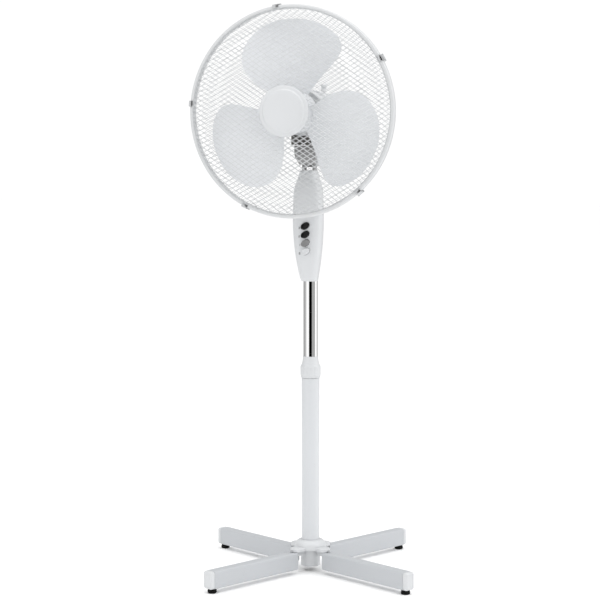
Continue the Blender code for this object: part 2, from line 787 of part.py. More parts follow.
def make_swivel_block(plastic):
    """The block that tilts between the ears and carries the sweep pin. Drawn about the tilt axis."""
    rise = NECK_TOP - TILT_Z
    lip = CHIN_BOTTOM - 0.0010 - TILT_Z
    under = NECK_UNDERSIDE - TILT_Z
    front = -NECK_FRONT - TILT_Y
    back = 0.020
    outline = [
        (front, lip), (front + 0.0008, 0.0200), (front + 0.0033, 0.0085), (front + 0.0093, -0.0005),
        (front + 0.0158, -0.0060), (front + 0.0198, -0.0075), (-EAR_RADIUS - 0.0035, 0.0020),
        (-EAR_RADIUS - 0.0005, 0.0105), (-0.0080, under), (back - 0.004, under), (back, under + 0.004),
        (back, rise), (-0.0130, rise), (-0.0130, lip),
    ]
    block = plate("swivel_block", [outline], 2 * NECK_HALF, plastic, (0.0, TILT_Y, TILT_Z), side_turn())
    waist = NECK_HALF - 0.0075
    sides = [
        (NECK_HALF, lip + 0.01), (-NECK_HALF, lip + 0.01), (-NECK_HALF, 0.0100), (-waist, -0.0100), (waist, -0.0100),
        (NECK_HALF, 0.0100),
    ]
    taper = plate("swivel_taper", [sides], 0.10, None, (0.0, TILT_Y, TILT_Z), HEAD_TURN)
    combine(block, taper, "INTERSECT")
    tongue_outline = arc((0.0, 0.0), EAR_RADIUS + 0.0003, math.pi, math.tau, 9)
    tongue_outline += [(EAR_RADIUS + 0.0003, rise - 0.003), (-EAR_RADIUS - 0.0003, rise - 0.003)]
    tongue = plate("swivel_tongue", [tongue_outline], 2 * TONGUE_HALF, None, (0.0, TILT_Y, TILT_Z), side_turn())
    boss = turned("sweep_boss", disc(SWEEP_BOSS, NECK_TOP - 0.003, CHIN_BOTTOM - 0.0005), None, (0.0, SWEEP_Y, 0.0))
    stud = turned("link_stud", disc(STUD_RADIUS, NECK_TOP - 0.003, NECK_TOP + 0.006), None,
                  (STUD_REACH, SWEEP_Y, 0.0), steps=FINE)
    bolt_hole = turned("tongue_bolt_hole", disc(TILT_BOLT + GAP, -0.03, 0.03), None, (0.0, TILT_Y, TILT_Z),
                       (0.0, math.radians(90.0), 0.0), steps=FINE)
    pin_hole = turned("sweep_hole", disc(SWEEP_PIN + RUNNING, TILT_Z + 0.0065, CHIN_BOTTOM + 0.005), None,
                      (0.0, SWEEP_Y, 0.0))
    for piece in (tongue, boss, stud):
        join(block, piece)
    cut(block, bolt_hole)
    return cut(block, pin_hole)


def make_tilt_bolt(steel):
    """A bolt along X through both ears; its head is on the -X side."""
    outer = EAR_OUTER + GAP
    profile = [
        (0.0, outer + 0.0100), (TILT_BOLT, outer + 0.0100), (TILT_BOLT, -outer),
        (0.0055, -outer), (0.0055, -outer - 0.0032), (0.0045, -outer - 0.0040), (0.0, -outer - 0.0040),
    ]
    return turned("tilt_bolt", profile, steel, (0.0, TILT_Y, TILT_Z), (0.0, math.radians(90.0), 0.0), steps=FINE)


def make_tilt_knob(plastic):
    outline = []
    for step in range(30):
        angle = math.tau * step / 30
        radius = 0.0105 + 0.0012 * math.cos(6 * angle)
        outline.append((radius * math.cos(angle), radius * math.sin(angle)))
    length = 0.0125
    start = EAR_OUTER + 2 * GAP
    turn = (0.0, math.radians(90.0), 0.0)
    knob = plate("tilt_knob", [outline], length, plastic, (start + length / 2, TILT_Y, TILT_Z), turn)
    bore = turned("knob_bore", disc(TILT_BOLT + GAP, -0.002, EAR_OUTER + 0.0108 - start), None,
                  (start, TILT_Y, TILT_Z), turn, steps=FINE)
    return cut(knob, bore)


def make_sweep_pin(steel):
    bottom = TILT_Z + 0.0068
    top = HEAD_Z - MOTOR_RADIUS - 0.0015
    return turned("sweep_pin", disc(SWEEP_PIN, bottom, top), steel, (0.0, SWEEP_Y, 0.0))


# ---- motor; the turned pieces are drawn with their height running ahead, along -Y ----
def on_head(name, profile, material, steps=ROUND):
    return turned(name, profile, material, (0.0, 0.0, HEAD_Z), HEAD_TURN, steps)


def make_motor_front(plastic):
    inner = MOTOR_RADIUS - MOTOR_WALL
    bore = SHAFT_RADIUS + 0.0030
    seat = BEARING_RADIUS + GAP
    wall = MOTOR_FRONT - 0.0026
    profile = [
        (bore, BOSS_FRONT), (BOSS_RADIUS, BOSS_FRONT), (BOSS_RADIUS, MOTOR_FRONT),
        (MOTOR_RADIUS - 0.006, MOTOR_FRONT), (MOTOR_RADIUS, MOTOR_FRONT - 0.006), (MOTOR_RADIUS, MOTOR_BACK),
        (inner, MOTOR_BACK), (inner, wall - 0.004), (inner - 0.004, wall),
        (seat + 0.003, wall), (seat + 0.003, wall - 0.0090), (seat, wall - 0.0090), (seat, wall - 0.0005),
        (bore, wall - 0.0005),
    ]
    return on_head("motor_front_cover", profile, plastic)


def make_head_bracket(plastic):
    """The saddle under the motor that turns on the sweep pin."""
    bracket = box("head_bracket", (-CHIN_HALF, -0.058, CHIN_BOTTOM), (CHIN_HALF, -0.003, HEAD_Z - 0.030), plastic,
                  edge=0.003)
    cavity = on_head("bracket_seat", disc(MOTOR_RADIUS + GAP, MOTOR_BACK - 0.004, MOTOR_FRONT), None)
    pin_hole = turned("bracket_pin_hole", disc(SWEEP_PIN + GAP, CHIN_BOTTOM - 0.01, HEAD_Z - MOTOR_RADIUS + 0.01), None,
                      (0.0, SWEEP_Y, 0.0), steps=FINE)
    cut(bracket, cavity)
    return cut(bracket, pin_hole)


def make_motor_rear(plastic):
    inner = REAR_RADIUS - REAR_WALL
    front = MOTOR_BACK - 0.0005
    back = front - REAR_LENGTH
    outside = []
    inside = []
    for step in range(7):
        angle = math.pi / 2 * step / 6
        outside.append((REAR_RADIUS * math.cos(angle) ** 0.8, back + REAR_BEND - REAR_BEND * math.sin(angle)))
        inside.append((inner * math.cos(angle) ** 0.8, back + REAR_BEND - (REAR_BEND - REAR_WALL) * math.sin(angle)))
    outside[-1] = (0.0, outside[-1][1])
    inside[-1] = (0.0, inside[-1][1])
    profile = list(reversed(inside)) + [(inner, front), (REAR_RADIUS, front)] + outside
    cover = on_head("motor_rear_cover", profile, plastic)
    rod_hole = turned("clutch_hole", disc(CLUTCH_ROD + 0.0010, HEAD_Z + 0.02, HEAD_Z + 0.06), None,
                      (WHEEL_X, WORM_DISTANCE, 0.0), steps=FINE)
    crank_hole = turned("crank_hole", disc(0.0045, HEAD_Z - 0.06, HEAD_Z - 0.03), None,
                        (CRANK_X, WORM_DISTANCE, 0.0), steps=FINE)
    cut(cover, rod_hole)
    return cut(cover, crank_hole)


def stator_span():
    front = MOTOR_FRONT - 0.020
    return front - STATOR_LENGTH, front


def make_stator(steel):
    back, front = stator_span()
    outlines = [circle(STATOR_RADIUS, ROUND), circle(STATOR_BORE, ROUND)]
    for index in range(WINDING_BARS):
        angle = math.tau * (index + 0.5) / WINDING_BARS
        centre = around(WINDING_CIRCLE, angle, 0.0)
        outlines.append(circle(WINDING_BAR + GAP, 6, centre))
    return plate("stator_core", outlines, front - back, steel, (0.0, -(front + back) / 2, HEAD_Z), HEAD_TURN)


def make_winding(copper):
    back, front = stator_span()
    ring_low = STATOR_BORE + 0.0012
    ring_high = STATOR_RADIUS - 0.0035
    reach = 0.0075
    winding = on_head("stator_winding", disc(ring_high, front + GAP, front + GAP + reach, ring_low), copper)
    rear = on_head("winding_rear", disc(ring_high, back - GAP - reach, back - GAP, ring_low), None)
    join(winding, rear)
    for index in range(WINDING_BARS):
        angle = math.tau * (index + 0.5) / WINDING_BARS
        spot = around(WINDING_CIRCLE, angle, 0.0)
        bar = turned(f"winding_bar_{index + 1}", disc(WINDING_BAR, back - 0.003, front + 0.003), None,
                     (spot[0], 0.0, HEAD_Z + spot[1]), HEAD_TURN, steps=6)
        join(winding, bar)
    return winding


def make_rotor(steel):
    back, front = stator_span()
    return on_head("rotor_core", disc(STATOR_BORE - ROTOR_GAP, back, front, SHAFT_RADIUS + GAP), steel)


def make_shaft(steel):
    """From the spinner's thread to the worm, with the cross pin that drives the blade."""
    worm_front = -WORM_DISTANCE + 0.009
    profile = [(0.0, BLADE_HUB_FRONT + 0.0115), (SHAFT_RADIUS - 0.0005, BLADE_HUB_FRONT + 0.0115),
               (SHAFT_RADIUS, BLADE_HUB_FRONT + 0.0110), (SHAFT_RADIUS, worm_front)]
    threads = 4
    for thread in range(threads):
        level = worm_front - 0.018 * thread / threads
        profile += [(WORM_RADIUS, level - 0.0008), (WORM_RADIUS, level - 0.0016), (WORM_RADIUS - 0.0010, level - 0.0024)]
    profile += [(WORM_RADIUS - 0.0010, worm_front - 0.0185), (0.0, worm_front - 0.0185)]
    shaft = on_head("motor_shaft", profile, steel, steps=FINE)
    pin = turned("drive_pin", disc(0.0015, -0.011, 0.011), None, (0.0, -BLADE_HUB_BACK - 0.0020, HEAD_Z),
                 (0.0, math.radians(90.0), 0.0), steps=8)
    return join(shaft, pin)


def make_bearing(name, low, high, bronze):
    return on_head(name, disc(BEARING_RADIUS, low, high, SHAFT_RADIUS + RUNNING), bronze)


def make_gearbox(plastic):
    """The plate that closes the motor, holds the rear bearing and carries the gears' floor."""
    plate_front = MOTOR_BACK - 0.0060
    rim = MOTOR_RADIUS - MOTOR_WALL - GAP
    housing = on_head(
        "gearbox_housing",
        [(BEARING_RADIUS + GAP, plate_front), (rim, plate_front), (rim, plate_front - 0.0040),
         (BEARING_RADIUS + 0.0033, plate_front - 0.0040), (BEARING_RADIUS + 0.0033, plate_front - 0.0085),
         (BEARING_RADIUS + GAP, plate_front - 0.0085)],
        plastic,
    )
    floor = box("gear_floor", (-0.0225, 0.0060, GEARBOX_FLOOR_TOP - 0.004), (0.0225, 0.061, GEARBOX_FLOOR_TOP), None)
    shaft_hole = turned("crank_shaft_hole", disc(0.0030 + RUNNING, HEAD_Z - 0.06, HEAD_Z), None,
                        (CRANK_X, WORM_DISTANCE, 0.0))
    join(housing, floor)
    return cut(housing, shaft_hole)


def make_worm_wheel(plastic):
    """The wheel beside the worm, on one hub with the small pinion under it."""
    hub_bottom = GEARBOX_FLOOR_TOP + GAP
    bore = CLUTCH_ROD + GAP
    spot = (WHEEL_X, WORM_DISTANCE, 0.0)
    wheel = turned("worm_wheel", disc(PINION_RADIUS - 0.0015, hub_bottom, HEAD_Z + 0.006, bore), plastic, spot,
                   steps=FINE)
    rim = plate("wheel_rim", [gear_outline(WHEEL_TEETH, WHEEL_RADIUS, WHEEL_RADIUS - 0.0013), circle(0.0030, FINE)],
                0.008, None, (WHEEL_X, WORM_DISTANCE, HEAD_Z))
    pinion = plate("pinion", [gear_outline(PINION_TEETH, PINION_RADIUS, PINION_RADIUS - 0.0012), circle(0.0030, FINE)],
                   0.006, None, (WHEEL_X, WORM_DISTANCE, hub_bottom + 0.0037))
    join(wheel, rim)
    return join(wheel, pinion)


def crank_angle():
    """The crank pin stands square to the line from the crank to the stud."""
    to_stud = Vector((STUD_REACH - CRANK_X, SWEEP_Y - WORM_DISTANCE))
    return math.atan2(to_stud.y, to_stud.x) + math.pi / 2


def make_crank_gear(steel):
    """The slow gear, its shaft down through the floor, and the crank disc with its pin."""
    low = GEARBOX_FLOOR_TOP + GAP
    disc_top = CHIN_BOTTOM + 0.0095
    profile = [
        (0.0, low + 0.008), (0.0030, low + 0.008), (0.0030, disc_top), (CRANK_THROW + 0.0027, disc_top),
        (CRANK_THROW + 0.0027, disc_top - 0.0050), (0.0, disc_top - 0.0050),
    ]
    crank = turned("crank_gear", profile, steel, (CRANK_X, WORM_DISTANCE, 0.0))
    outlines = [gear_outline(CRANK_TEETH, CRANK_RADIUS, CRANK_RADIUS - 0.0010), circle(0.0022, FINE)]
    teeth = plate("crank_teeth", outlines, 0.006, None, (CRANK_X, WORM_DISTANCE, low + 0.0035))
    angle = crank_angle()
    pin_spot = (CRANK_X + CRANK_THROW * math.cos(angle), WORM_DISTANCE + CRANK_THROW * math.sin(angle), 0.0)
    pin = turned("crank_pin", disc(CRANK_PIN, link_top() + 0.0005, disc_top - 0.002), None, pin_spot, steps=FINE)
    join(crank, teeth)
    return join(crank, pin)


def link_top():
    return NECK_TOP + 0.0052


def make_link(steel):
    """The flat link from the stud towards the crank pin; its crank end is the open pivot."""
    angle = crank_angle()
    pin = Vector((CRANK_X + CRANK_THROW * math.cos(angle), WORM_DISTANCE + CRANK_THROW * math.sin(angle)))
    stud = Vector((STUD_REACH, SWEEP_Y))
    span = (pin - stud).length
    direction = math.atan2(pin.y - stud.y, pin.x - stud.x)
    half = 0.0036
    outline = arc((0.0, 0.0), half, math.pi / 2, 3 * math.pi / 2, 7)
    outline += arc((span, 0.0), half, -math.pi / 2, math.pi / 2, 7)
    holes = [circle(STUD_RADIUS + GAP, 12), circle(CRANK_PIN + GAP, 12, (span, 0.0))]
    thickness = 0.0026
    return plate("crank_link", [outline, *holes], thickness, steel,
                 (STUD_REACH, SWEEP_Y, link_top() - thickness / 2), (0.0, 0.0, direction))


def make_clutch_knob(plastic):
    """Pulled up, it frees the worm wheel and the head stops sweeping."""
    crown = HEAD_Z + math.sqrt(REAR_RADIUS ** 2 - (WHEEL_X - CLUTCH_FOOT) ** 2) + GAP
    profile = [
        (0.0, crown + 0.015), (0.0045, crown + 0.015), (0.0065, crown + 0.012), (0.0050, crown + 0.004),
        (CLUTCH_FOOT, crown), (CLUTCH_ROD, crown), (CLUTCH_ROD, GEARBOX_FLOOR_TOP + 0.0015),
        (0.0, GEARBOX_FLOOR_TOP + 0.0015),
    ]
    return turned("clutch_knob", profile, plastic, (WHEEL_X, WORM_DISTANCE, 0.0), steps=FINE)


# ---- guards ----
def dome_rise(radius):
    """0 at the rim, 1 at the middle."""
    share = min(radius / (GUARD_RADIUS - RIM_WIDTH / 2), 1.0)
    return math.sqrt(max(1.0 - share ** 2.5, 0.0))


def guard_wires(name, level):
    """Two crossing families of straight wires, laid over the dome that level(radius) gives."""
    end = GUARD_RADIUS - RIM_WIDTH / 2
    curve = bpy.data.curves.new(name, "CURVE")
    curve.dimensions = "3D"
    curve.bevel_depth = WIRE_RADIUS
    curve.bevel_resolution = 0
    curve.use_fill_caps = True
    rows = int(end / WIRE_PITCH)
    for slope, lap in ((WIRE_SLOPE, WIRE_LAP), (-WIRE_SLOPE, -WIRE_LAP)):
        along = Vector((math.cos(slope), math.sin(slope)))
        across = Vector((-math.sin(slope), math.cos(slope)))
        for row in range(-rows, rows + 1):
            offset = row * WIRE_PITCH
            reach = math.sqrt(end ** 2 - offset ** 2)
            steps = 6
            spline = curve.splines.new("POLY")
            spline.points.add(steps)
            for index, point in enumerate(spline.points):
                place_along = reach * math.sin(math.pi / 2 * (2 * index / steps - 1))
                spot = across * offset + along * place_along
                point.co = (spot.x, spot.y, level(spot.length) + lap, 1.0)
    wires = place(name, curve, None, (0.0, 0.0, HEAD_Z), HEAD_TURN)
    return solid_of(name, wires, None)


def make_guard(name, paint, low, level, plate_low, plate_bore):
    """A rim from low to low + RIM_DEPTH, wires that follow level(radius), and a middle plate."""
    rim_profile = disc(GUARD_RADIUS, low, low + RIM_DEPTH - GAP, GUARD_RADIUS - RIM_WIDTH)
    guard = on_head(name, rim_profile, paint, steps=2 * ROUND)
    wires = guard_wires(name + "_wires", level)
    core = on_head(name + "_core", disc(PLATE_RADIUS - 0.006, plate_low - 0.01, plate_low + 0.01), None)
    middle = on_head(name + "_plate", disc(PLATE_RADIUS, plate_low, plate_low + GUARD_PLATE, plate_bore), None)
    combine(wires, core, "DIFFERENCE", self_crossing=True)
    join(guard, wires)
    return join(guard, middle)


def make_front_guard(paint):
    base = RIM_PLANE + 0.005
    plate_low = base + FRONT_DOME - GUARD_PLATE / 2
    return make_guard("front_guard", paint, RIM_PLANE + GAP, lambda r: base + FRONT_DOME * dome_rise(r), plate_low, 0.0)


def make_rear_guard(paint):
    low = RIM_PLANE - RIM_DEPTH
    base = RIM_PLANE - 0.005
    plate_low = MOTOR_FRONT + GAP
    bore = BOSS_RADIUS + GAP
    guard = make_guard("rear_guard", paint, low, lambda r: base - REAR_DOME * dome_rise(r), plate_low, bore)
    for index, angle in enumerate(CLIP_ANGLES):
        for side in (-1, 1):
            across = side * (CLIP_WIDTH / 2 + GAP + 0.0008)
            lug = box(
                f"lug_{index + 1}_{'left' if side < 0 else 'right'}",
                (GUARD_RADIUS - 0.002, across - 0.0008, low + 0.0004),
                (GUARD_RADIUS + 0.0045, across + 0.0008, low + 0.0046), None,
                (0.0, 0.0, HEAD_Z), head_turn(angle),
            )
            join(guard, lug)
    return guard


def head_turn(angle):
    """A turn that lays local Z ahead of the fan and local X along a radius of the guard."""
    return (Matrix.Rotation(math.radians(90.0), 4, "X") @ Matrix.Rotation(angle, 4, "Z")).to_euler()


def make_clip(index, steel):
    """An over-centre clip: its eye is between two lugs on the rear rim, its jaw is over the front rim."""
    angle = CLIP_ANGLES[index]
    eye = (GUARD_RADIUS + 0.0025, RIM_PLANE - RIM_DEPTH + 0.0025)
    outer = GUARD_RADIUS + 0.0006
    jaw = RIM_PLANE + RIM_DEPTH + GAP
    low = RIM_PLANE - RIM_DEPTH + 0.0025
    outline = [
        (outer - eye[0], low - eye[1]),
        (outer + CLIP_THICKNESS + 0.0020 - eye[0], low - 0.0015 - eye[1]),
        (outer + CLIP_THICKNESS + 0.0024 - eye[0], low + 0.0015 - eye[1]),
        (outer + CLIP_THICKNESS - eye[0], low + 0.0045 - eye[1]),
        (outer + CLIP_THICKNESS - eye[0], jaw + CLIP_THICKNESS - eye[1]),
        (GUARD_RADIUS - 0.0060 - eye[0], jaw + CLIP_THICKNESS - eye[1]),
        (GUARD_RADIUS - 0.0060 - eye[0], jaw - eye[1]),
        (outer - eye[0], jaw - eye[1]),
    ]
    radial = Vector((math.cos(angle), 0.0, math.sin(angle)))
    ahead = Vector((0.0, -1.0, 0.0))
    spot = Vector((0.0, 0.0, HEAD_Z)) + radial * eye[0] + ahead * eye[1]
    across = radial.cross(ahead)
    turn = Matrix((radial, ahead, across)).transposed().to_euler()
    return plate(f"guard_clip_{index + 1}", [outline], CLIP_WIDTH, steel, spot, turn)


def make_guard_nut(plastic):
    low = MOTOR_FRONT + GUARD_PLATE + 2 * GAP
    outline = []
    for step in range(24):
        angle = math.tau * step / 24
        radius = NUT_RADIUS - (0.0012 if step % 2 else 0.0)
        outline.append((radius * math.cos(angle), radius * math.sin(angle)))
    thickness = 0.009
    holes = [circle(BOSS_RADIUS + GAP, ROUND)]
    return plate("guard_lock_nut", [outline, *holes], thickness, plastic, (0.0, -low - thickness / 2, HEAD_Z), HEAD_TURN)


def make_centre_cap(plastic):
    low = RIM_PLANE + 0.005 + FRONT_DOME + GUARD_PLATE / 2 + GAP
    profile = [
        (0.0, CAP_FRONT), (CAP_FACE, CAP_FRONT - 0.0005), (CAP_FACE + 0.0030, CAP_FRONT - 0.0022),
        (CAP_RADIUS - 0.0012, CAP_FRONT - 0.0036), (CAP_RADIUS, CAP_FRONT - 0.0046), (CAP_RADIUS, low), (0.0, low),
    ]
    return on_head("centre_cap", profile, plastic, steps=40)


# ---- blade ----
def blade_edges(radius):
    """The trailing and leading edges at a radius, as angles from the blade's middle."""
    trailing = math.radians(49.5)
    leading = math.radians(40.0)
    if radius > 0.080:
        trailing *= max(1.0 - ((radius - 0.080) / (BLADE_TIP - 0.080)) ** 2.5, 0.0) ** 0.5
    else:
        trailing *= 0.72 + 0.28 * (radius / 0.080)
    if radius > 0.120:
        leading *= max(1.0 - ((radius - 0.120) / (BLADE_TIP - 0.120)) ** 4.0, 0.0) ** 0.5
    else:
        leading *= 0.80 + 0.20 * (radius / 0.120)
    return trailing, -leading


def make_vane(index):
    """One vane: a helicoid sheet between its two edges, given its thickness."""
    mesh = bpy.data.meshes.new(f"vane_{index + 1}")
    shape = bmesh.new()
    rows = []
    radial_steps = 7
    across_steps = 5
    start = BLADE_HUB - 0.6 * BLADE_HUB_WALL
    end = BLADE_TIP - 0.0006
    for i in range(radial_steps + 1):
        radius = start + (end - start) * math.sin(math.pi / 2 * i / radial_steps)
        trailing, leading = blade_edges(radius)
        row = []
        for j in range(across_steps + 1):
            angle = leading + (trailing - leading) * j / across_steps
            turn = BLADE_START + index * math.tau / BLADE_COUNT + angle
            ahead = BLADE_MIDDLE + BLADE_PITCH * (angle - math.radians(4.8))
            row.append(shape.verts.new((radius * math.cos(turn), radius * math.sin(turn), ahead)))
        rows.append(row)
    for inner, outer in zip(rows, rows[1:]):
        for j in range(across_steps):
            shape.faces.new((inner[j], outer[j], outer[j + 1], inner[j + 1]))
    shape.to_mesh(mesh)
    shape.free()
    vane = place(f"vane_{index + 1}", mesh, None, (0.0, 0.0, HEAD_Z), HEAD_TURN)
    solid = vane.modifiers.new("thickness", "SOLIDIFY")
    solid.thickness = BLADE_THICKNESS
    solid.offset = 0.0
    return vane


def make_blade(plastic):
    skirt = BLADE_HUB - BLADE_HUB_WALL
    ceiling = BLADE_HUB_FRONT - 0.0028
    profile = [
        (SHAFT_RADIUS + GAP, BLADE_HUB_FRONT), (BLADE_HUB - 0.003, BLADE_HUB_FRONT),
        (BLADE_HUB, BLADE_HUB_FRONT - 0.003), (BLADE_HUB, BLADE_HUB_BACK + 0.004), (skirt, BLADE_HUB_BACK + 0.004),
        (skirt, ceiling), (BLADE_BOSS, ceiling), (BLADE_BOSS, BLADE_HUB_BACK), (SHAFT_RADIUS + GAP, BLADE_HUB_BACK),
    ]
    blade = on_head("fan_blade", profile, plastic)
    for index in range(BLADE_COUNT):
        join(blade, make_vane(index))
    slot = box("pin_slot", (-0.0125, -BLADE_HUB_BACK - 0.0040, HEAD_Z - 0.0019),
               (0.0125, -BLADE_HUB_BACK + 0.004, HEAD_Z + 0.0019), None)
    return cut(blade, slot)


def make_spinner(plastic):
    low = BLADE_HUB_FRONT + GAP
    bore_depth = 0.0125
    profile = [
        (0.0, low + bore_depth), (SHAFT_RADIUS + GAP, low + bore_depth), (SHAFT_RADIUS + GAP, low),
        (SPINNER_RADIUS, low),
    ]
    top = [
        (0.0, low + SPINNER_LENGTH), (SPINNER_RADIUS * 0.55, low + SPINNER_LENGTH - 0.0007),
        (SPINNER_RADIUS * 0.9, low + SPINNER_LENGTH - 0.0035), (SPINNER_RADIUS, low + SPINNER_LENGTH - 0.008),
    ]
    return on_head("blade_nut", top + list(reversed(profile)), plastic)


# ---- the fan, put together ----
def build():
    clear_scene()
    made = make_materials()
    white = made["white_plastic"]
    paint = made["white_paint"]

    for index in range(LEG_COUNT):
        make_leg(index, paint)
        make_leg_cap(index, white)
        make_foot(index, made["rubber"])
        make_leg_screw(index, made["steel"])
    make_base_hub(white)
    make_outer_pole(paint)
    make_collet(made["grey_plastic"])

    collar_axis = pivot("collar_axis", (0.0, 0.0, COLLAR_BOTTOM))
    attach(collar_axis, make_collar(white))

    mast_axis = pivot("mast_axis", (0.0, 0.0, MAST_BOTTOM))
    front_shell = make_box_shell("panel_front_shell", white, -0.06, BOX_SPLIT_Y - GAP / 2)
    cut_button_holes(front_shell)
    rear_shell = make_box_shell("panel_rear_shell", white, BOX_SPLIT_Y + GAP / 2, 0.06)
    cut(rear_shell, make_gland_hole())
    attach(
        mast_axis, make_mast(made["chrome"]), make_mast_bush(made["grey_plastic"]), front_shell, rear_shell,
        make_switch_block(made["black_plastic"]), make_gland(made["rubber"]),
        make_neck_bracket(made["grey_plastic"]), make_tilt_bolt(made["steel"]),
    )
    button_finish = {"high": "black_plastic", "medium": "black_plastic", "low": "grey_plastic", "off": "white_plastic"}
    for index, (label, finish_name) in enumerate(button_finish.items()):
        attach(mast_axis, make_button(f"button_{label}", index, made[finish_name]))
    attach(mast_axis, make_tilt_knob(white))

    tilt_axis = pivot("tilt_axis", (0.0, TILT_Y, TILT_Z), mast_axis)
    attach(tilt_axis, make_swivel_block(made["grey_plastic"]))
    link_axis = pivot("link_axis", (STUD_REACH, SWEEP_Y, NECK_TOP), tilt_axis)
    attach(link_axis, make_link(made["steel"]))

    sweep_axis = pivot("sweep_axis", (0.0, SWEEP_Y, CHIN_BOTTOM), tilt_axis)
    rear_seat = MOTOR_BACK - 0.0060
    attach(
        sweep_axis, make_motor_front(white), make_motor_rear(white), make_head_bracket(made["dark_plastic"]),
        make_sweep_pin(made["steel"]),
        make_stator(made["core_steel"]), make_winding(made["copper"]),
        make_bearing("bearing_front", MOTOR_FRONT - 0.0108, MOTOR_FRONT - 0.0035, made["bronze"]),
        make_bearing("bearing_rear", rear_seat - 0.0080, rear_seat - 0.0005, made["bronze"]),
        make_gearbox(made["gear_plastic"]), make_front_guard(paint), make_rear_guard(paint),
        make_guard_nut(white), make_centre_cap(white),
    )
    spin_axis = pivot("spin_axis", (0.0, 0.0, HEAD_Z), sweep_axis)
    attach(spin_axis, make_shaft(made["steel"]), make_rotor(made["core_steel"]), make_blade(made["blade_plastic"]),
           make_spinner(white))
    wheel_axis = pivot("wheel_axis", (WHEEL_X, WORM_DISTANCE, HEAD_Z), sweep_axis)
    attach(wheel_axis, make_worm_wheel(made["gear_plastic"]), make_clutch_knob(white))
    crank_axis = pivot("crank_axis", (CRANK_X, WORM_DISTANCE, HEAD_Z), sweep_axis)
    attach(crank_axis, make_crank_gear(made["steel"]))
    for index in range(len(CLIP_ANGLES)):
        attach(sweep_axis, make_clip(index, made["steel"]))


build()
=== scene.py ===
import math

import bmesh
import bpy
from mathutils import Matrix, Vector


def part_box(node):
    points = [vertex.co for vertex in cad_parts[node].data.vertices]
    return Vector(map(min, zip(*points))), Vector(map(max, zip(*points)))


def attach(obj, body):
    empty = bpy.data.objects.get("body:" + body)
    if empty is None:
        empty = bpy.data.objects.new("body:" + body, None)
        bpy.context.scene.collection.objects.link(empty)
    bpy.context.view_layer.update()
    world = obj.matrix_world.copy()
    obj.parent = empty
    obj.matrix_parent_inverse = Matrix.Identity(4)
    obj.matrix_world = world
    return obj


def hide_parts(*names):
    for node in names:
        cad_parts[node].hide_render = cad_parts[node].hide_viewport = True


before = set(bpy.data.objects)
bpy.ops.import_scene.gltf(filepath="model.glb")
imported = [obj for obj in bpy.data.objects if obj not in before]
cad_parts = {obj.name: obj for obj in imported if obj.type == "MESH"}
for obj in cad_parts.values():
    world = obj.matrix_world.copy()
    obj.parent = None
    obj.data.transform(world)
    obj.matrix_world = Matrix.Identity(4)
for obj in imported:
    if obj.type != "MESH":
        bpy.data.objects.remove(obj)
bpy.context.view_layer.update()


# ---- the studio ----
# A pale floor that runs out to white, a white surround, one large soft light high on each side and a
# ring of cards that only the bright metal picks up. None of it belongs to the fan.
view_turn = math.radians(16.4)
camera_data = bpy.data.cameras.new("studio_camera")
camera_data.sensor_width = 36.0
camera_data.lens = 99.2
camera_data.clip_end = 50.0
camera = bpy.data.objects.new("studio_camera", camera_data)
camera.location = Matrix.Rotation(view_turn, 3, "Z") @ Vector((-0.022, -3.4205, 0.8605))
camera.rotation_euler = (math.radians(85.133), 0.0, view_turn)
bpy.context.scene.collection.objects.link(camera)
bpy.context.scene.camera = camera
bpy.context.scene.view_settings.view_transform = "Standard"

surround = bpy.data.worlds.new("white_surround")
surround.use_nodes = True
surround.node_tree.nodes["Background"].inputs["Color"].default_value = (1.0, 1.0, 1.0, 1.0)
surround.node_tree.nodes["Background"].inputs["Strength"].default_value = 1.04
bpy.context.scene.world = surround


def soft_light(name, spot, aim, size, power):
    lamp = bpy.data.lights.new(name, "AREA")
    lamp.shape = "RECTANGLE"
    lamp.size, lamp.size_y = size
    lamp.energy = power
    light = bpy.data.objects.new(name, lamp)
    light.location = spot
    light.rotation_euler = (Vector(aim) - Vector(spot)).to_track_quat("-Z", "Y").to_euler()
    bpy.context.scene.collection.objects.link(light)
    return light


def around_camera(degrees, distance, height):
    """A spot at a turn to the right of the camera, seen from the pole."""
    angle = view_turn + math.radians(degrees)
    return (distance * math.sin(angle), -distance * math.cos(angle), height)


soft_light("key_right", around_camera(58.0, 3.2, 2.6), (0.0, 0.0, 0.7), (1.6, 2.2), 26.0)
soft_light("fill_left", around_camera(-62.0, 3.4, 2.0), (0.0, 0.0, 0.6), (1.8, 2.4), 6.0)
soft_light("top", (0.1, -0.3, 3.6), (0.0, 0.0, 0.4), (2.4, 2.4), 34.0)


def studio_plane(name, size, height, colour):
    mesh = bpy.data.meshes.new(name)
    shape = bmesh.new()
    bmesh.ops.create_grid(shape, x_segments=1, y_segments=1, size=size)
    bmesh.ops.translate(shape, vec=(0.0, 0.0, height), verts=shape.verts)
    shape.to_mesh(mesh)
    shape.free()
    material = bpy.data.materials.new(name)
    material.use_nodes = True
    material.node_tree.nodes["Principled BSDF"].inputs["Base Color"].default_value = (*colour, 1.0)
    material.node_tree.nodes["Principled BSDF"].inputs["Roughness"].default_value = 0.9
    mesh.materials.append(material)
    plane = bpy.data.objects.new(name, mesh)
    bpy.context.scene.collection.objects.link(plane)
    return plane


studio_plane("studio_floor", 30.0, -0.0002, (0.99, 0.99, 0.99))

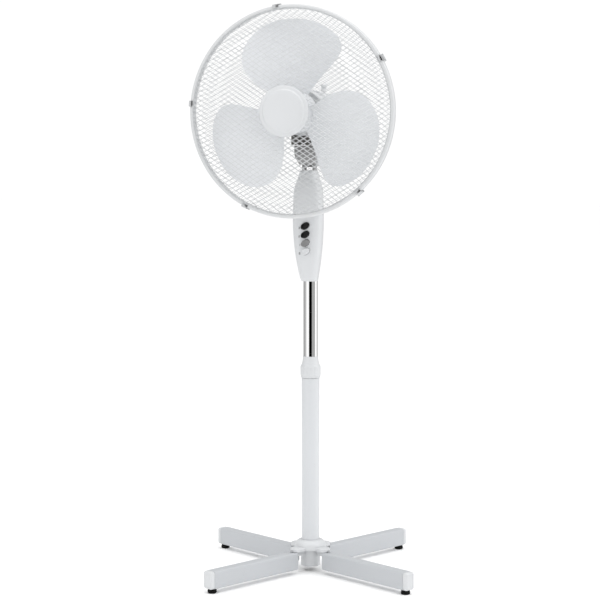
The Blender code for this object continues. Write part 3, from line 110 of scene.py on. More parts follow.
# (from, to) in degrees to the right of the camera, and how bright that card is
for card_number, (start, end, brightness) in enumerate((
        (-26.0, 20.0, 0.0), (20.0, 62.0, 0.42), (62.0, 70.0, 0.12), (70.0, 116.0, 1.1), (116.0, 180.0, 0.5),
        (-70.0, -26.0, 1.1), (-97.0, -70.0, 0.62), (-104.0, -97.0, 0.15), (-180.0, -104.0, 0.45))):
    card_shape = bmesh.new()
    columns = [
        (card_shape.verts.new(around_camera(start + (end - start) * step / 8, 2.3, 0.02)),
         card_shape.verts.new(around_camera(start + (end - start) * step / 8, 2.3, 2.4)))
        for step in range(9)
    ]
    for (low_a, high_a), (low_b, high_b) in zip(columns, columns[1:]):
        card_shape.faces.new((low_a, low_b, high_b, high_a))
    card_mesh = bpy.data.meshes.new(f"studio_card_{card_number}")
    card_shape.to_mesh(card_mesh)
    card_shape.free()
    card_glow = bpy.data.materials.new(f"studio_card_{card_number}")
    card_glow.use_nodes = True
    glow = card_glow.node_tree.nodes["Principled BSDF"]
    glow.inputs["Base Color"].default_value = (0.0, 0.0, 0.0, 1.0)
    glow.inputs["Roughness"].default_value = 1.0
    glow.inputs["Specular IOR Level"].default_value = 0.0
    glow.inputs["Emission Color"].default_value = (1.0, 1.0, 1.0, 1.0)
    glow.inputs["Emission Strength"].default_value = brightness
    card_mesh.materials.append(card_glow)
    card = bpy.data.objects.new(f"studio_card_{card_number}", card_mesh)
    bpy.context.scene.collection.objects.link(card)
    card.visible_camera = False
    card.visible_diffuse = False
    card.visible_shadow = False
    card.visible_transmission = False


# ---- the cross hub ----
# One white moulding: four round-ended tongues that lie over the legs, a boss between the legs that
# takes the pole, and a low dome round it. It is screwed to each leg from below.
def linked(name, mesh):
    piece = bpy.data.objects.new(name, mesh)
    bpy.context.scene.collection.objects.link(piece)
    return piece


def smooth_mesh(name, shape, sharp=38.0):
    """A mesh from a bmesh: welded, facing out, smooth but for edges sharper than an angle."""
    bmesh.ops.remove_doubles(shape, verts=shape.verts, dist=0.0000005)
    bmesh.ops.recalc_face_normals(shape, faces=shape.faces)
    for face in shape.faces:
        face.smooth = True
    mesh = bpy.data.meshes.new(name)
    shape.to_mesh(mesh)
    shape.free()
    mesh.set_sharp_from_angle(angle=math.radians(sharp))
    return mesh


def lofted(name, rings, closed_ends=True, joined_ends=False, sharp=38.0):
    """A skin through rings of points, with its ends capped or joined to each other."""
    shape = bmesh.new()
    loops = [[shape.verts.new(point) for point in ring] for ring in rings]
    pairs = list(zip(loops, loops[1:]))
    if joined_ends:
        pairs.append((loops[-1], loops[0]))
    for first, second in pairs:
        count = len(first)
        for i in range(count):
            shape.faces.new((first[i], first[(i + 1) % count], second[(i + 1) % count], second[i]))
    if closed_ends and not joined_ends:
        shape.faces.new(list(reversed(loops[0])))
        shape.faces.new(loops[-1])
    return linked(name, smooth_mesh(name, shape, sharp))


def turned(name, profile, place=Matrix.Identity(4), steps=72, closed=False, sharp=38.0, swell=None):
    """A profile of (radius, height) points turned about Z. swell(angle, point) adds to a radius."""
    rings = []
    for index, (radius, height) in enumerate(profile):
        ring = []
        for step in range(steps):
            angle = math.tau * step / steps
            grown = radius + (swell(angle, index) if swell else 0.0)
            ring.append(place @ Vector((grown * math.cos(angle), grown * math.sin(angle), height)))
        rings.append(ring)
    return lofted(name, rings, joined_ends=closed, sharp=sharp)


def inset(outline, distance):
    """An outline drawn in by a distance, each corner along its own bisector."""
    moved = []
    count = len(outline)
    for i in range(count):
        here = Vector(outline[i])
        before = (here - Vector(outline[i - 1])).normalized()
        after = (Vector(outline[(i + 1) % count]) - here).normalized()
        inward = Vector((-before.y - after.y, before.x + after.x))
        scale = distance / max(0.35, inward.length / 2)
        moved.append(here + inward.normalized() * scale)
    return moved


def rounded_block(name, outline, low, high, edge, place=Matrix.Identity(4), steps=3, dish=0.0, sharp=38.0):
    """An outline drawn anticlockwise, raised from low to high with its edges rounded over."""
    levels = [(edge * (1 - math.sin(math.pi / 2 * i / steps)),
               low + edge * (1 - math.cos(math.pi / 2 * i / steps)))
              for i in range(steps + 1)]
    levels += [(inward, low + high - level) for inward, level in reversed(levels)]
    rings = [[place @ Vector((x, y, level)) for x, y in inset(outline, inward)] for inward, level in levels]
    if dish:
        middle = sum((Vector(point) for point in outline), Vector((0.0, 0.0))) / len(outline)
        for share in (0.75, 0.45, 0.15):
            depth = high - dish * (1 - share ** 2)
            rings.append([place @ (Vector((*middle, depth)) + share * Vector((*(point - middle), 0.0)))
                          for point in inset(outline, edge)])
    return lofted(name, rings, sharp=sharp)


def baked(piece):
    """The piece with its modifiers made part of its mesh."""
    bpy.context.view_layer.update()
    mesh = bpy.data.meshes.new_from_object(piece.evaluated_get(bpy.context.evaluated_depsgraph_get()))
    piece.modifiers.clear()
    piece.data = mesh
    return piece


def worked(piece, tool, operation, sharp=38.0):
    """Joins a tool to the piece, or cuts it away, and removes the tool."""
    boolean = piece.modifiers.new("work", "BOOLEAN")
    boolean.operation = operation
    boolean.solver = "EXACT"
    boolean.object = tool
    baked(piece)
    bpy.data.objects.remove(tool, do_unlink=True)
    for polygon in piece.data.polygons:
        polygon.use_smooth = True
    piece.data.set_sharp_from_angle(angle=math.radians(sharp))
    return piece


def gathered(name, pieces):
    """Several loose shapes as one piece."""
    shape = bmesh.new()
    for piece in pieces:
        shape.from_mesh(piece.data)
        bpy.data.objects.remove(piece, do_unlink=True)
    mesh = bpy.data.meshes.new(name)
    shape.to_mesh(mesh)
    shape.free()
    mesh.set_sharp_from_angle(angle=math.radians(38.0))
    return linked(name, mesh)


def dressed(piece, material, body, replaced=()):
    piece.data.materials.clear()
    piece.data.materials.append(material)
    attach(piece, body)
    if replaced:
        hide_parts(*replaced)
    return piece


def finished(node, material):
    """A part that is shown just as it was built, in its own finish."""
    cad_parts[node].data.materials.clear()
    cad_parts[node].data.materials.append(material)


def noise(tree, scale, detail, coordinates, roughness=0.5):
    texture = tree.nodes.new("ShaderNodeTexNoise")
    texture.inputs["Scale"].default_value = scale
    texture.inputs["Detail"].default_value = detail
    texture.inputs["Roughness"].default_value = roughness
    tree.links.new(coordinates, texture.inputs["Vector"])
    return texture.outputs["Fac"]


def ranged(tree, value, low, high, from_low=0.3, from_high=0.7):
    node = tree.nodes.new("ShaderNodeMapRange")
    node.inputs["From Min"].default_value = from_low
    node.inputs["From Max"].default_value = from_high
    node.inputs["To Min"].default_value = low
    node.inputs["To Max"].default_value = high
    tree.links.new(value, node.inputs["Value"])
    return node.outputs["Result"]


def blended(tree, kind, factor, first, second):
    node = tree.nodes.new("ShaderNodeMix")
    node.data_type = "RGBA"
    node.blend_type = kind
    for socket, value in (("Factor", factor), ("A", first), ("B", second)):
        target = [s for s in node.inputs if s.name == socket
                  and (s.type == "RGBA" or socket == "Factor" and s.type == "VALUE")][0]
        if isinstance(value, bpy.types.NodeSocket):
            tree.links.new(value, target)
        else:
            target.default_value = value
    return [s for s in node.outputs if s.type == "RGBA"][0]


def skin_group():
    """Moulded or sprayed skin: a fine grain, slow changes of tone and gloss, and faint specks."""
    group = bpy.data.node_groups.new("surface_skin", "ShaderNodeTree")
    for name, kind in (("Colour", "NodeSocketColor"), ("Shade Colour", "NodeSocketColor"),
                       ("Gloss", "NodeSocketFloat"),
                       ("Grain Scale", "NodeSocketFloat"), ("Cloud Scale", "NodeSocketFloat")):
        group.interface.new_socket(name=name, in_out="INPUT", socket_type=kind)
    for name, kind in (("Colour", "NodeSocketColor"), ("Roughness", "NodeSocketFloat"),
                       ("Height", "NodeSocketFloat")):
        group.interface.new_socket(name=name, in_out="OUTPUT", socket_type=kind)
    entry = group.nodes.new("NodeGroupInput")
    leave = group.nodes.new("NodeGroupOutput")
    place = group.nodes.new("ShaderNodeTexCoord").outputs["Object"]
    clouds = noise(group, 9.0, 3.0, place)
    group.links.new(entry.outputs["Cloud Scale"], clouds.node.inputs["Scale"])
    grain = noise(group, 900.0, 2.0, place, 0.6)
    group.links.new(entry.outputs["Grain Scale"], grain.node.inputs["Scale"])
    specks = noise(group, 240.0, 1.0, place)
    shaded = blended(group, "MIX", ranged(group, clouds, 0.0, 1.0), entry.outputs["Colour"],
                     entry.outputs["Shade Colour"])
    speckled = blended(group, "MULTIPLY", ranged(group, specks, 0.0, 0.16, 0.68, 0.80), shaded,
                       (0.62, 0.60, 0.56, 1.0))
    gloss = group.nodes.new("ShaderNodeMath")
    gloss.operation = "ADD"
    group.links.new(entry.outputs["Gloss"], gloss.inputs[0])
    group.links.new(ranged(group, clouds, -0.03, 0.05), gloss.inputs[1])
    group.links.new(speckled, leave.inputs["Colour"])
    group.links.new(gloss.outputs[0], leave.inputs["Roughness"])
    group.links.new(grain, leave.inputs["Height"])
    return group


surface_skin = skin_group()


def skin_material(name, colour, shade, gloss, grain_scale=900.0, grain_depth=0.00002, cloud_scale=9.0,
                  specular=0.5):
    material = bpy.data.materials.new(name)
    material.use_nodes = True
    tree = material.node_tree
    shader = tree.nodes["Principled BSDF"]
    skin = tree.nodes.new("ShaderNodeGroup")
    skin.node_tree = surface_skin
    skin.inputs["Colour"].default_value = (*colour, 1.0)
    skin.inputs["Shade Colour"].default_value = (*shade, 1.0)
    skin.inputs["Gloss"].default_value = gloss
    skin.inputs["Grain Scale"].default_value = grain_scale
    skin.inputs["Cloud Scale"].default_value = cloud_scale
    bump = tree.nodes.new("ShaderNodeBump")
    bump.inputs["Strength"].default_value = 0.5
    bump.inputs["Distance"].default_value = grain_depth
    tree.links.new(skin.outputs["Height"], bump.inputs["Height"])
    tree.links.new(bump.outputs["Normal"], shader.inputs["Normal"])
    tree.links.new(skin.outputs["Colour"], shader.inputs["Base Color"])
    tree.links.new(skin.outputs["Roughness"], shader.inputs["Roughness"])
    shader.inputs["Specular IOR Level"].default_value = specular
    return material


def cube_tool(low, high):
    tool = bmesh.new()
    bmesh.ops.create_cube(tool, size=1.0)
    bmesh.ops.scale(tool, vec=Vector(high) - Vector(low), verts=tool.verts)
    bmesh.ops.translate(tool, vec=(Vector(high) + Vector(low)) / 2, verts=tool.verts)
    mesh = bpy.data.meshes.new("tool")
    tool.to_mesh(mesh)
    tool.free()
    return linked("tool", mesh)


def disc_turn(angle):
    return Matrix.Rotation(angle, 4, "Z")


def rounded_rectangle(width, height, corner, per_corner=6):
    outline = []
    for index, (sx, sy) in enumerate(((1, 1), (-1, 1), (-1, -1), (1, -1))):
        for step in range(per_corner + 1):
            angle = math.pi / 2 * (index + step / per_corner)
            outline.append((sx * (width / 2 - corner) + corner * math.cos(angle),
                            sy * (height / 2 - corner) + corner * math.sin(angle)))
    return outline


white_moulding = skin_material("white_moulding", (0.600, 0.612, 0.625), (0.580, 0.592, 0.605), 0.34)
leg_angles = [math.radians(60.0 + 90.0 * i) for i in range(4)]
hub_low, hub_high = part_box("base_hub")
leg_low, leg_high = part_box("leg_1")
pole_low, pole_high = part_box("outer_pole")
pole_radius = pole_high.x
plate_low = leg_high.z + 0.0003
plate_high = plate_low + 0.0077
tongue_half = 0.0135
tongue_reach = 0.053
fillet = 0.0175
hub_outline = []
for angle in leg_angles:
    end = Vector((math.cos(angle), math.sin(angle))) * (tongue_reach - tongue_half)
    for step in range(17):
        sweep = angle - math.pi / 2 + math.pi * step / 16
        hub_outline.append((end.x + tongue_half * math.cos(sweep), end.y + tongue_half * math.sin(sweep)))
    corner = Vector((math.cos(angle + math.pi / 4),
                     math.sin(angle + math.pi / 4))) * (tongue_half + fillet) * math.sqrt(2)
    for step in range(13):
        sweep = angle + 1.5 * math.pi - math.pi / 2 * step / 12
        hub_outline.append((corner.x + fillet * math.cos(sweep), corner.y + fillet * math.sin(sweep)))
cross_hub = rounded_block("cross_hub", hub_outline, plate_low, plate_high, 0.0016)
dome_profile = [(pole_radius + 0.0003, hub_low.z), (0.0196, hub_low.z), (0.0201, hub_low.z + 0.0006),
                (0.0201, plate_low + 0.002),
                (0.0322, plate_low + 0.002)]
for step in range(10):
    angle = math.pi / 2 * step / 9
    dome_profile.append((0.0190 + 0.0134 * math.cos(angle), plate_high - 0.0004 + 0.0139 * math.sin(angle)))
dome_profile.append((pole_radius + 0.0003, hub_high.z - 0.0005))
hub_dome = turned("hub_dome", dome_profile, closed=True)
worked(cross_hub, hub_dome, "UNION", 30.0)
web_box = ((0.0195, -0.0027, 0.0350), (0.0490, 0.0027, 0.0430))
plug_box = ((0.0471, -0.0100, 0.0110), (0.0658, 0.0100, 0.0430))
bore_tool = turned("bore_tool", [(pole_radius + 0.0002, plate_low - 0.01),
                                 (pole_radius + 0.0002, plate_high + 0.02)])
worked(cross_hub, bore_tool, "DIFFERENCE", 30.0)
for angle in leg_angles:
    for low, high in (web_box, plug_box):
        arm = cube_tool(low, high)
        arm.data.transform(disc_turn(angle))
        worked(cross_hub, arm, "UNION", 30.0)
dressed(cross_hub, white_moulding, "base", ["base_hub"])


# ---- legs ----
# Rectangular steel tube with rolled corners, sprayed white. Each runs in under a tongue of the hub and
# has two dimples pressed in each side near the tip, which hold the end cap.
# The legs' spray is the pole's white darkened as painted shade: the leg sides come out as dark as shaded
# faces, and the strong top light brings the tops back up.
shade_darkened_spray = skin_material("shade_darkened_spray", (0.475, 0.490, 0.510), (0.460, 0.476, 0.496), 0.36, 420.0,
                            0.00003, 6.0)
leg_width, leg_height, leg_wall = 0.024, 0.036, 0.0015
leg_start = 0.0465
leg_end = 0.275
dimple_from_end = 0.0046
dimple_from_middle = 0.0062
leg_middle = (leg_low.z + leg_high.z) / 2


def along_leg(angle):
    """Local X across the leg, Y up and Z out along it."""
    out = Vector((math.cos(angle), math.sin(angle), 0.0))
    across = Vector((-math.sin(angle), math.cos(angle), 0.0))
    up = Vector((0.0, 0.0, 1.0))
    place = Matrix((across, up, out)).transposed().to_4x4()
    place.translation = Vector((0.0, 0.0, leg_middle))
    return place


for index, angle in enumerate(leg_angles):
    place = along_leg(angle)
    outer = rounded_rectangle(leg_width, leg_height, 0.0032)
    inner = rounded_rectangle(leg_width - 2 * leg_wall, leg_height - 2 * leg_wall, 0.0017)
    sections = ((outer, leg_start), (outer, leg_end - 0.0003), (inset(outer, 0.0003), leg_end),
                (inner, leg_end), (inner, leg_start))
    rings = [[place @ Vector((x, y, level)) for x, y in outline] for outline, level in sections]
    leg = lofted(f"leg_tube_{index + 1}", rings, joined_ends=True)
    for side in (-1, 1):
        for share in (-1, 1):
            spot = place @ Matrix.Translation((side * (leg_width / 2 + 0.0002), share * dimple_from_middle,
                                               leg_end - dimple_from_end))
            punch = turned("punch", [(0.0002, -0.0009), (0.0007, -0.0006), (0.0009, 0.0), (0.0009, 0.001)],
                           spot @ Matrix.Rotation(side * math.pi / 2, 4, "Y"), 12)
            worked(leg, punch, "DIFFERENCE")
    dressed(leg, shade_darkened_spray, "base", [f"leg_{index + 1}"])


# ---- leg end caps ----
# White mouldings pushed into the tubes. The end face has soft corners and a shallow sunk panel.
cap_joint = 0.2753
for index, angle in enumerate(leg_angles):
    place = along_leg(angle)
    levels = ((0.0004, 0.0), (0.0, 0.0004), (0.0, 0.0062), (0.0004, 0.0078), (0.0014, 0.0092),
              (0.0030, 0.0100),
              (0.0036, 0.0100))
    outline = rounded_rectangle(leg_width, leg_height, 0.0045, 8)
    rings = [[place @ Vector((x, y, cap_joint + level)) for x, y in inset(outline, inward)]
             for inward, level in levels]
    for inward, corner, level in ((0.0040, 0.0012, 0.0099), (0.0044, 0.0010, 0.0092),
                                  (0.0050, 0.0007, 0.0090)):
        panel = rounded_rectangle(leg_width - 2 * inward, leg_height - 2 * inward, corner, 8)
        rings.append([place @ Vector((x, y, cap_joint + level)) for x, y in panel])
    cap = lofted(f"end_cap_{index + 1}", rings, sharp=60.0)
    dressed(cap, white_moulding, "base", [f"leg_cap_{index + 1}"])


# ---- feet ----
# Black rubber buttons pushed up through the leg's lower wall, ribbed round the side and cupped below.
black_rubber = skin_material("black_rubber", (0.004, 0.004, 0.004), (0.006, 0.006, 0.006), 0.70, 1600.0,
                             0.00004, 30.0, specular=0.15)
foot_low, foot_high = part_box("foot_1")
foot_circle = 0.272
for index, angle in enumerate(leg_angles):
    place = Matrix.Translation((foot_circle * math.cos(angle), foot_circle * math.sin(angle), 0.0))
    top = leg_low.z - 0.0002
    profile = [(0.0004, 0.0012), (0.0045, 0.0010), (0.0056, 0.0001), (0.0082, 0.0), (0.0090, 0.0010),
               (0.0092, 0.0022),
               (0.0088, 0.0026), (0.0093, 0.0031), (0.0093, 0.0043), (0.0089, 0.0047), (0.0091, 0.0052),
               (0.0086, 0.0070),
               (0.0078, 0.0084), (0.0070, top), (0.0029, top), (0.0029, foot_high.z), (0.0004, foot_high.z)]
    foot = turned(f"rubber_foot_{index + 1}", profile, place, 40)
    dressed(foot, black_rubber, "base", [f"foot_{index + 1}"])


# ---- leg screws ----
# Zinc-plated pan-head screws driven up from below, one through each leg into the hub.
def metal_group():
    """Plated or drawn metal: fine lines one way, soft patches of tarnish."""
    group = bpy.data.node_groups.new("metal_lines", "ShaderNodeTree")
    for name, kind in (("Colour", "NodeSocketColor"), ("Tarnish", "NodeSocketColor"),
                       ("Gloss", "NodeSocketFloat"),
                       ("Stretch", "NodeSocketVector")):
        group.interface.new_socket(name=name, in_out="INPUT", socket_type=kind)
    for name, kind in (("Colour", "NodeSocketColor"), ("Roughness", "NodeSocketFloat"),
                       ("Height", "NodeSocketFloat")):
        group.interface.new_socket(name=name, in_out="OUTPUT", socket_type=kind)
    entry = group.nodes.new("NodeGroupInput")
    leave = group.nodes.new("NodeGroupOutput")
    place = group.nodes.new("ShaderNodeTexCoord").outputs["Object"]
    stretch = group.nodes.new("ShaderNodeVectorMath")
    stretch.operation = "MULTIPLY"
    group.links.new(place, stretch.inputs[0])
    group.links.new(entry.outputs["Stretch"], stretch.inputs[1])
    lines = noise(group, 1.0, 3.0, stretch.outputs[0], 0.6)
    patches = noise(group, 26.0, 3.0, place)
    colour = blended(group, "MIX", ranged(group, patches, 0.0, 0.7, 0.45, 0.8), entry.outputs["Colour"],
                     entry.outputs["Tarnish"])
    rough = group.nodes.new("ShaderNodeMath")
    rough.operation = "ADD"
    group.links.new(entry.outputs["Gloss"], rough.inputs[0])
    group.links.new(ranged(group, lines, -0.015, 0.03), rough.inputs[1])
    group.links.new(colour, leave.inputs["Colour"])
    group.links.new(rough.outputs[0], leave.inputs["Roughness"])
    group.links.new(lines, leave.inputs["Height"])
    return group


metal_lines = metal_group()


def metal_material(name, colour, tarnish, gloss, stretch, depth=0.00001):
    material = bpy.data.materials.new(name)
    material.use_nodes = True
    tree = material.node_tree
    shader = tree.nodes["Principled BSDF"]
    shader.inputs["Metallic"].default_value = 1.0
    lines = tree.nodes.new("ShaderNodeGroup")
    lines.node_tree = metal_lines
    lines.inputs["Colour"].default_value = (*colour, 1.0)
    lines.inputs["Tarnish"].default_value = (*tarnish, 1.0)
    lines.inputs["Gloss"].default_value = gloss
    lines.inputs["Stretch"].default_value = stretch
    bump = tree.nodes.new("ShaderNodeBump")
    bump.inputs["Strength"].default_value = 0.3
    bump.inputs["Distance"].default_value = depth
    tree.links.new(lines.outputs["Height"], bump.inputs["Height"])
    tree.links.new(bump.outputs["Normal"], shader.inputs["Normal"])
    tree.links.new(lines.outputs["Colour"], shader.inputs["Base Color"])
    tree.links.new(lines.outputs["Roughness"], shader.inputs["Roughness"])
    return material


zinc_plate = metal_material("zinc_plate", (0.56, 0.57, 0.58), (0.40, 0.41, 0.42), 0.28,
                            (700.0, 700.0, 90.0))


def node_of(tree, kind, **settings):
    node = tree.nodes.new(kind)
    for name, value in settings.items():
        setattr(node, name, value)
    return node


def wired(tree, node, socket, value):
    """Feeds an input with another node's output, or sets it."""
    target = node.inputs[socket]
    if isinstance(value, bpy.types.NodeSocket):
        tree.links.new(value, target)
    else:
        target.default_value = value


def planting_tree():
    """Stands a copy of one shape on every point, its Z along the point's normal, all of one material."""
    tree = bpy.data.node_groups.new("planted_rows", "GeometryNodeTree")
    tree.interface.new_socket(name="Points", in_out="INPUT", socket_type="NodeSocketGeometry")
    tree.interface.new_socket(name="Shape", in_out="INPUT", socket_type="NodeSocketObject")
    tree.interface.new_socket(name="Size", in_out="INPUT", socket_type="NodeSocketFloat")
    tree.interface.new_socket(name="Material", in_out="INPUT", socket_type="NodeSocketMaterial")
    tree.interface.new_socket(name="Copies", in_out="OUTPUT", socket_type="NodeSocketGeometry")
    entry = node_of(tree, "NodeGroupInput")
    leave = node_of(tree, "NodeGroupOutput")
    facing = node_of(tree, "GeometryNodeInputNamedAttribute", data_type="FLOAT_VECTOR")
    facing.inputs["Name"].default_value = "facing"
    turn = node_of(tree, "FunctionNodeAlignRotationToVector", axis="Z")
    wired(tree, turn, "Vector", facing.outputs["Attribute"])
    info = node_of(tree, "GeometryNodeObjectInfo")
    wired(tree, info, "Object", entry.outputs["Shape"])
    stand = node_of(tree, "GeometryNodeInstanceOnPoints")
    wired(tree, stand, "Points", entry.outputs["Points"])
    wired(tree, stand, "Instance", info.outputs["Geometry"])
    wired(tree, stand, "Rotation", turn.outputs["Rotation"])
    wired(tree, stand, "Scale", entry.outputs["Size"])
    solid = node_of(tree, "GeometryNodeRealizeInstances")
    wired(tree, solid, "Geometry", stand.outputs["Instances"])
    cover = node_of(tree, "GeometryNodeSetMaterial")
    wired(tree, cover, "Geometry", solid.outputs["Geometry"])
    wired(tree, cover, "Material", entry.outputs["Material"])
    wired(tree, leave, "Copies", cover.outputs["Geometry"])
    return tree


planted_rows = planting_tree()


def socket_id(tree, name):
    return [item.identifier for item in tree.interface.items_tree if item.name == name
            and item.in_out == "INPUT"][0]


def planted(name, spots, shape, material):
    """One plain mesh with a copy of shape at each (place, direction)."""
    mesh = bpy.data.meshes.new(name)
    mesh.from_pydata([tuple(place) for place, _ in spots], [], [])
    facing = mesh.attributes.new("facing", "FLOAT_VECTOR", "POINT")
    for item, (_, direction) in zip(facing.data, spots):
        item.vector = direction
    piece = linked(name, mesh)
    modifier = piece.modifiers.new("rows", "NODES")
    modifier.node_group = planted_rows
    modifier[socket_id(planted_rows, "Shape")] = shape
    modifier[socket_id(planted_rows, "Size")] = 1.0
    modifier[socket_id(planted_rows, "Material")] = material
    baked(piece)
    if "facing" in piece.data.attributes:
        piece.data.attributes.remove(piece.data.attributes["facing"])
    bpy.data.objects.remove(shape, do_unlink=True)
    return piece


screw_low, screw_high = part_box("leg_screw_1")
screw_circle = math.hypot(*((screw_low + screw_high) / 2).xy)
screw_shape = turned("pan_head", [
    (0.0003, 0.0014), (0.0012, 0.0016), (0.0013, 0.0029), (0.0026, 0.0028), (0.0038, 0.0022),
                                  (0.0044, 0.0011), (0.0044, 0.0),
    (0.0024, -0.0002), (0.0024, -0.0400), (0.0003, -0.0405)], steps=20)
screw_spots = [((screw_circle * math.cos(a), screw_circle * math.sin(a), leg_low.z - 0.0001),
                (0.0, 0.0, -1.0)) for a in leg_angles]
leg_screws = planted("leg_screws", screw_spots, screw_shape, zinc_plate)
dressed(leg_screws, zinc_plate, "base", [f"leg_screw_{i}" for i in (1, 2, 3, 4)])


# ---- outer pole ----
# Welded steel tube sprayed white, standing in the hub, with its cut top edge broken.
pole_spray = skin_material("pole_spray", (0.590, 0.605, 0.622), (0.575, 0.590, 0.608), 0.34, 420.0, 0.00003,
                           6.0)
pole_bore = pole_radius - 0.0015
pole_profile = [(pole_bore, pole_low.z), (pole_radius - 0.0004, pole_low.z),
                (pole_radius, pole_low.z + 0.0004),
                (pole_radius, 0.15), (pole_radius, 0.28), (pole_radius, pole_high.z - 0.0005),
                (pole_radius - 0.0005, pole_high.z),
                (pole_bore + 0.0003, pole_high.z), (pole_bore, pole_high.z - 0.0003)]
outer_tube = turned("outer_tube", pole_profile, closed=True, steps=96)
dressed(outer_tube, pole_spray, "base", ["outer_pole"])


# ---- split collet ----
# Grey nylon sleeve between the two tubes, tapered above the seat so that the collar can squeeze it.
grey_nylon = skin_material("grey_nylon", (0.24, 0.24, 0.235), (0.20, 0.20, 0.195), 0.48, 1300.0, 0.00003)
finished("collar_collet", grey_nylon)


# ---- height collar ----
# White moulding that squeezes the collet: a skirt over the outer tube, a lobed grip, a waist and a
# plain neck.
collar_low, collar_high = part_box("height_collar")
grip_radius = collar_high.x
mast_low, mast_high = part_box("inner_pole")
mast_radius = mast_high.x
lobes = 10
collar_levels = (
    (pole_radius + 0.0004, 0.0, 0.0), (0.0196, 0.0, 0.0), (0.0200, 0.0006, 0.0), (0.0201, 0.0024, 0.0),
                 (0.0200, 0.0033, 0.0),
    (0.0208, 0.0038, 0.5), (0.0214, 0.0050, 1.0), (0.0215, 0.0075, 1.0), (0.0215, 0.0150, 1.0),
                 (0.0215, 0.0215, 1.0),
    (0.0214, 0.0232, 1.0), (0.0209, 0.0240, 0.6), (0.0206, 0.0246, 0.1), (0.0200, 0.0254, 0.0),
                 (0.0190, 0.0270, 0.0),
    (0.0183, 0.0284, 0.0), (0.0176, 0.0308, 0.0), (0.0171, 0.0333, 0.0), (0.0166, 0.0362, 0.0),
                 (0.0161, 0.0396, 0.0),
    (0.0159, 0.0436, 0.0), (0.0157, 0.0446, 0.0), (0.0154, 0.0447, 0.0), (0.0154, 0.0345, 0.0),
                 (0.0180, 0.0220, 0.0),
    (0.0190, 0.0024, 0.0))


def lobe(angle, index):
    return -0.0013 * collar_levels[index][2] * (0.5 - 0.5 * math.cos(lobes * angle)) ** 2.4


collar = turned("height_grip", [(radius, collar_low.z + rise) for radius, rise, _ in collar_levels],
                closed=True,
                steps=160, swell=lobe, sharp=50.0)
dressed(collar, white_moulding, "collar", ["height_collar"])


# ---- inner tube ----
# Chromed steel tube that slides in the outer one and carries the control box.
bright_chrome = metal_material("bright_chrome", (0.93, 0.93, 0.93), (0.88, 0.88, 0.88), 0.03,
                               (500.0, 500.0, 12.0), 0.000002)
inner_tube = turned("inner_tube", [
    (mast_radius - 0.0012, mast_low.z), (mast_radius - 0.0003, mast_low.z),
                                   (mast_radius, mast_low.z + 0.0003),
    (mast_radius, mast_high.z - 0.0003), (mast_radius - 0.0003, mast_high.z),
                                   (mast_radius - 0.0012, mast_high.z)],
    closed=True, steps=96)
dressed(inner_tube, bright_chrome, "mast", ["inner_pole"])
finished("inner_pole_bush", grey_nylon)


# ---- control box ----
# Two white mouldings that meet in a seam down each side: a fuller front with the button holes, and a
# rounder back with the hole for the cord grommet.
shell_low, shell_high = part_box("panel_front_shell")
box_bottom, box_top = shell_low.z, shell_high.z
box_wall = 0.0020
seam_y = -0.010
seam_gap = 0.00025
# share of the height, half width, how far the front stands ahead of the pole, how far the back behind it
box_levels = (
    (0.000, 0.0168, 0.0195, 0.0172), (0.030, 0.0180, 0.0245, 0.0180), (0.140, 0.0226, 0.0315, 0.0184),
    (0.240, 0.0260, 0.0360, 0.0186), (0.370, 0.0290, 0.0388, 0.0188), (0.530, 0.0308, 0.0402, 0.0190),
    (0.700, 0.0302, 0.0398, 0.0190), (0.821, 0.0286, 0.0386, 0.0190), (0.880, 0.0252, 0.0370, 0.0186),
    (0.924, 0.0215, 0.0350, 0.0182), (1.000, 0.0165, 0.0300, 0.0176))


def box_sizes(share):
    """Half width, front and back at a share of the height, on a smooth curve through the levels."""
    for i in range(len(box_levels) - 1):
        if share <= box_levels[i + 1][0] + 1e-9:
            break
    rows = [box_levels[max(i - 1, 0)], box_levels[i], box_levels[i + 1],
            box_levels[min(i + 2, len(box_levels) - 1)]]
    span = rows[2][0] - rows[1][0]
    t = (share - rows[1][0]) / span
    sizes = []
    for column in (1, 2, 3):
        before = (rows[2][column] - rows[0][column]) / max(rows[2][0] - rows[0][0], 1e-6) * span
        after = (rows[3][column] - rows[1][column]) / max(rows[3][0] - rows[1][0], 1e-6) * span
        sizes.append((2 * t ** 3 - 3 * t ** 2 + 1) * rows[1][column] + (t ** 3 - 2 * t ** 2 + t) * before
                     + (3 * t ** 2 - 2 * t ** 3) * rows[2][column] + (t ** 3 - t ** 2) * after)
    return sizes


def box_ring(share, inward, height, count=56):
    half, front, back = box_sizes(share)
    middle = 0.36 * front
    ring = []
    for step in range(count):
        angle = math.tau * step / count
        ahead = math.sin(angle) < 0.0
        power = 2 / 3.6 if ahead else 2 / 2.1
        depth = (front - middle if ahead else back + middle) - inward
        ring.append(Vector(((half - inward) * math.copysign(abs(math.cos(angle)) ** power, math.cos(angle)),
                            depth * math.copysign(abs(math.sin(angle)) ** power, math.sin(angle)) - middle,
                            height)))
    return ring


def box_shape(name, inward, bottom, top, edge):
    """The box between two heights, with its top and bottom edges rounded over."""
    levels = [(edge * (1 - math.sin(math.pi / 2 * i / 4)),
               bottom + edge * (1 - math.cos(math.pi / 2 * i / 4))) for i in range(5)]
    levels += [(0.0, bottom + edge + (top - bottom - 2 * edge) * i / 40) for i in range(1, 40)]
    levels += [(extra, bottom + top - level) for extra, level in reversed(levels[:5])]
    rings = [box_ring(min(max((level - box_bottom) / (box_top - box_bottom), 0.0), 1.0), inward + extra,
                      level) for extra, level in levels]
    return lofted(name, rings)


def face_at(height):
    """How far along -Y the front of the box is on its middle line."""
    return box_sizes((height - box_bottom) / (box_top - box_bottom))[1]


button_names = ("high", "medium", "low", "off")
button_boxes = [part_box(f"button_{name}") for name in button_names]
button_heights = [(low.z + high.z) / 2 for low, high in button_boxes]
button_tilt = math.radians(33.0)


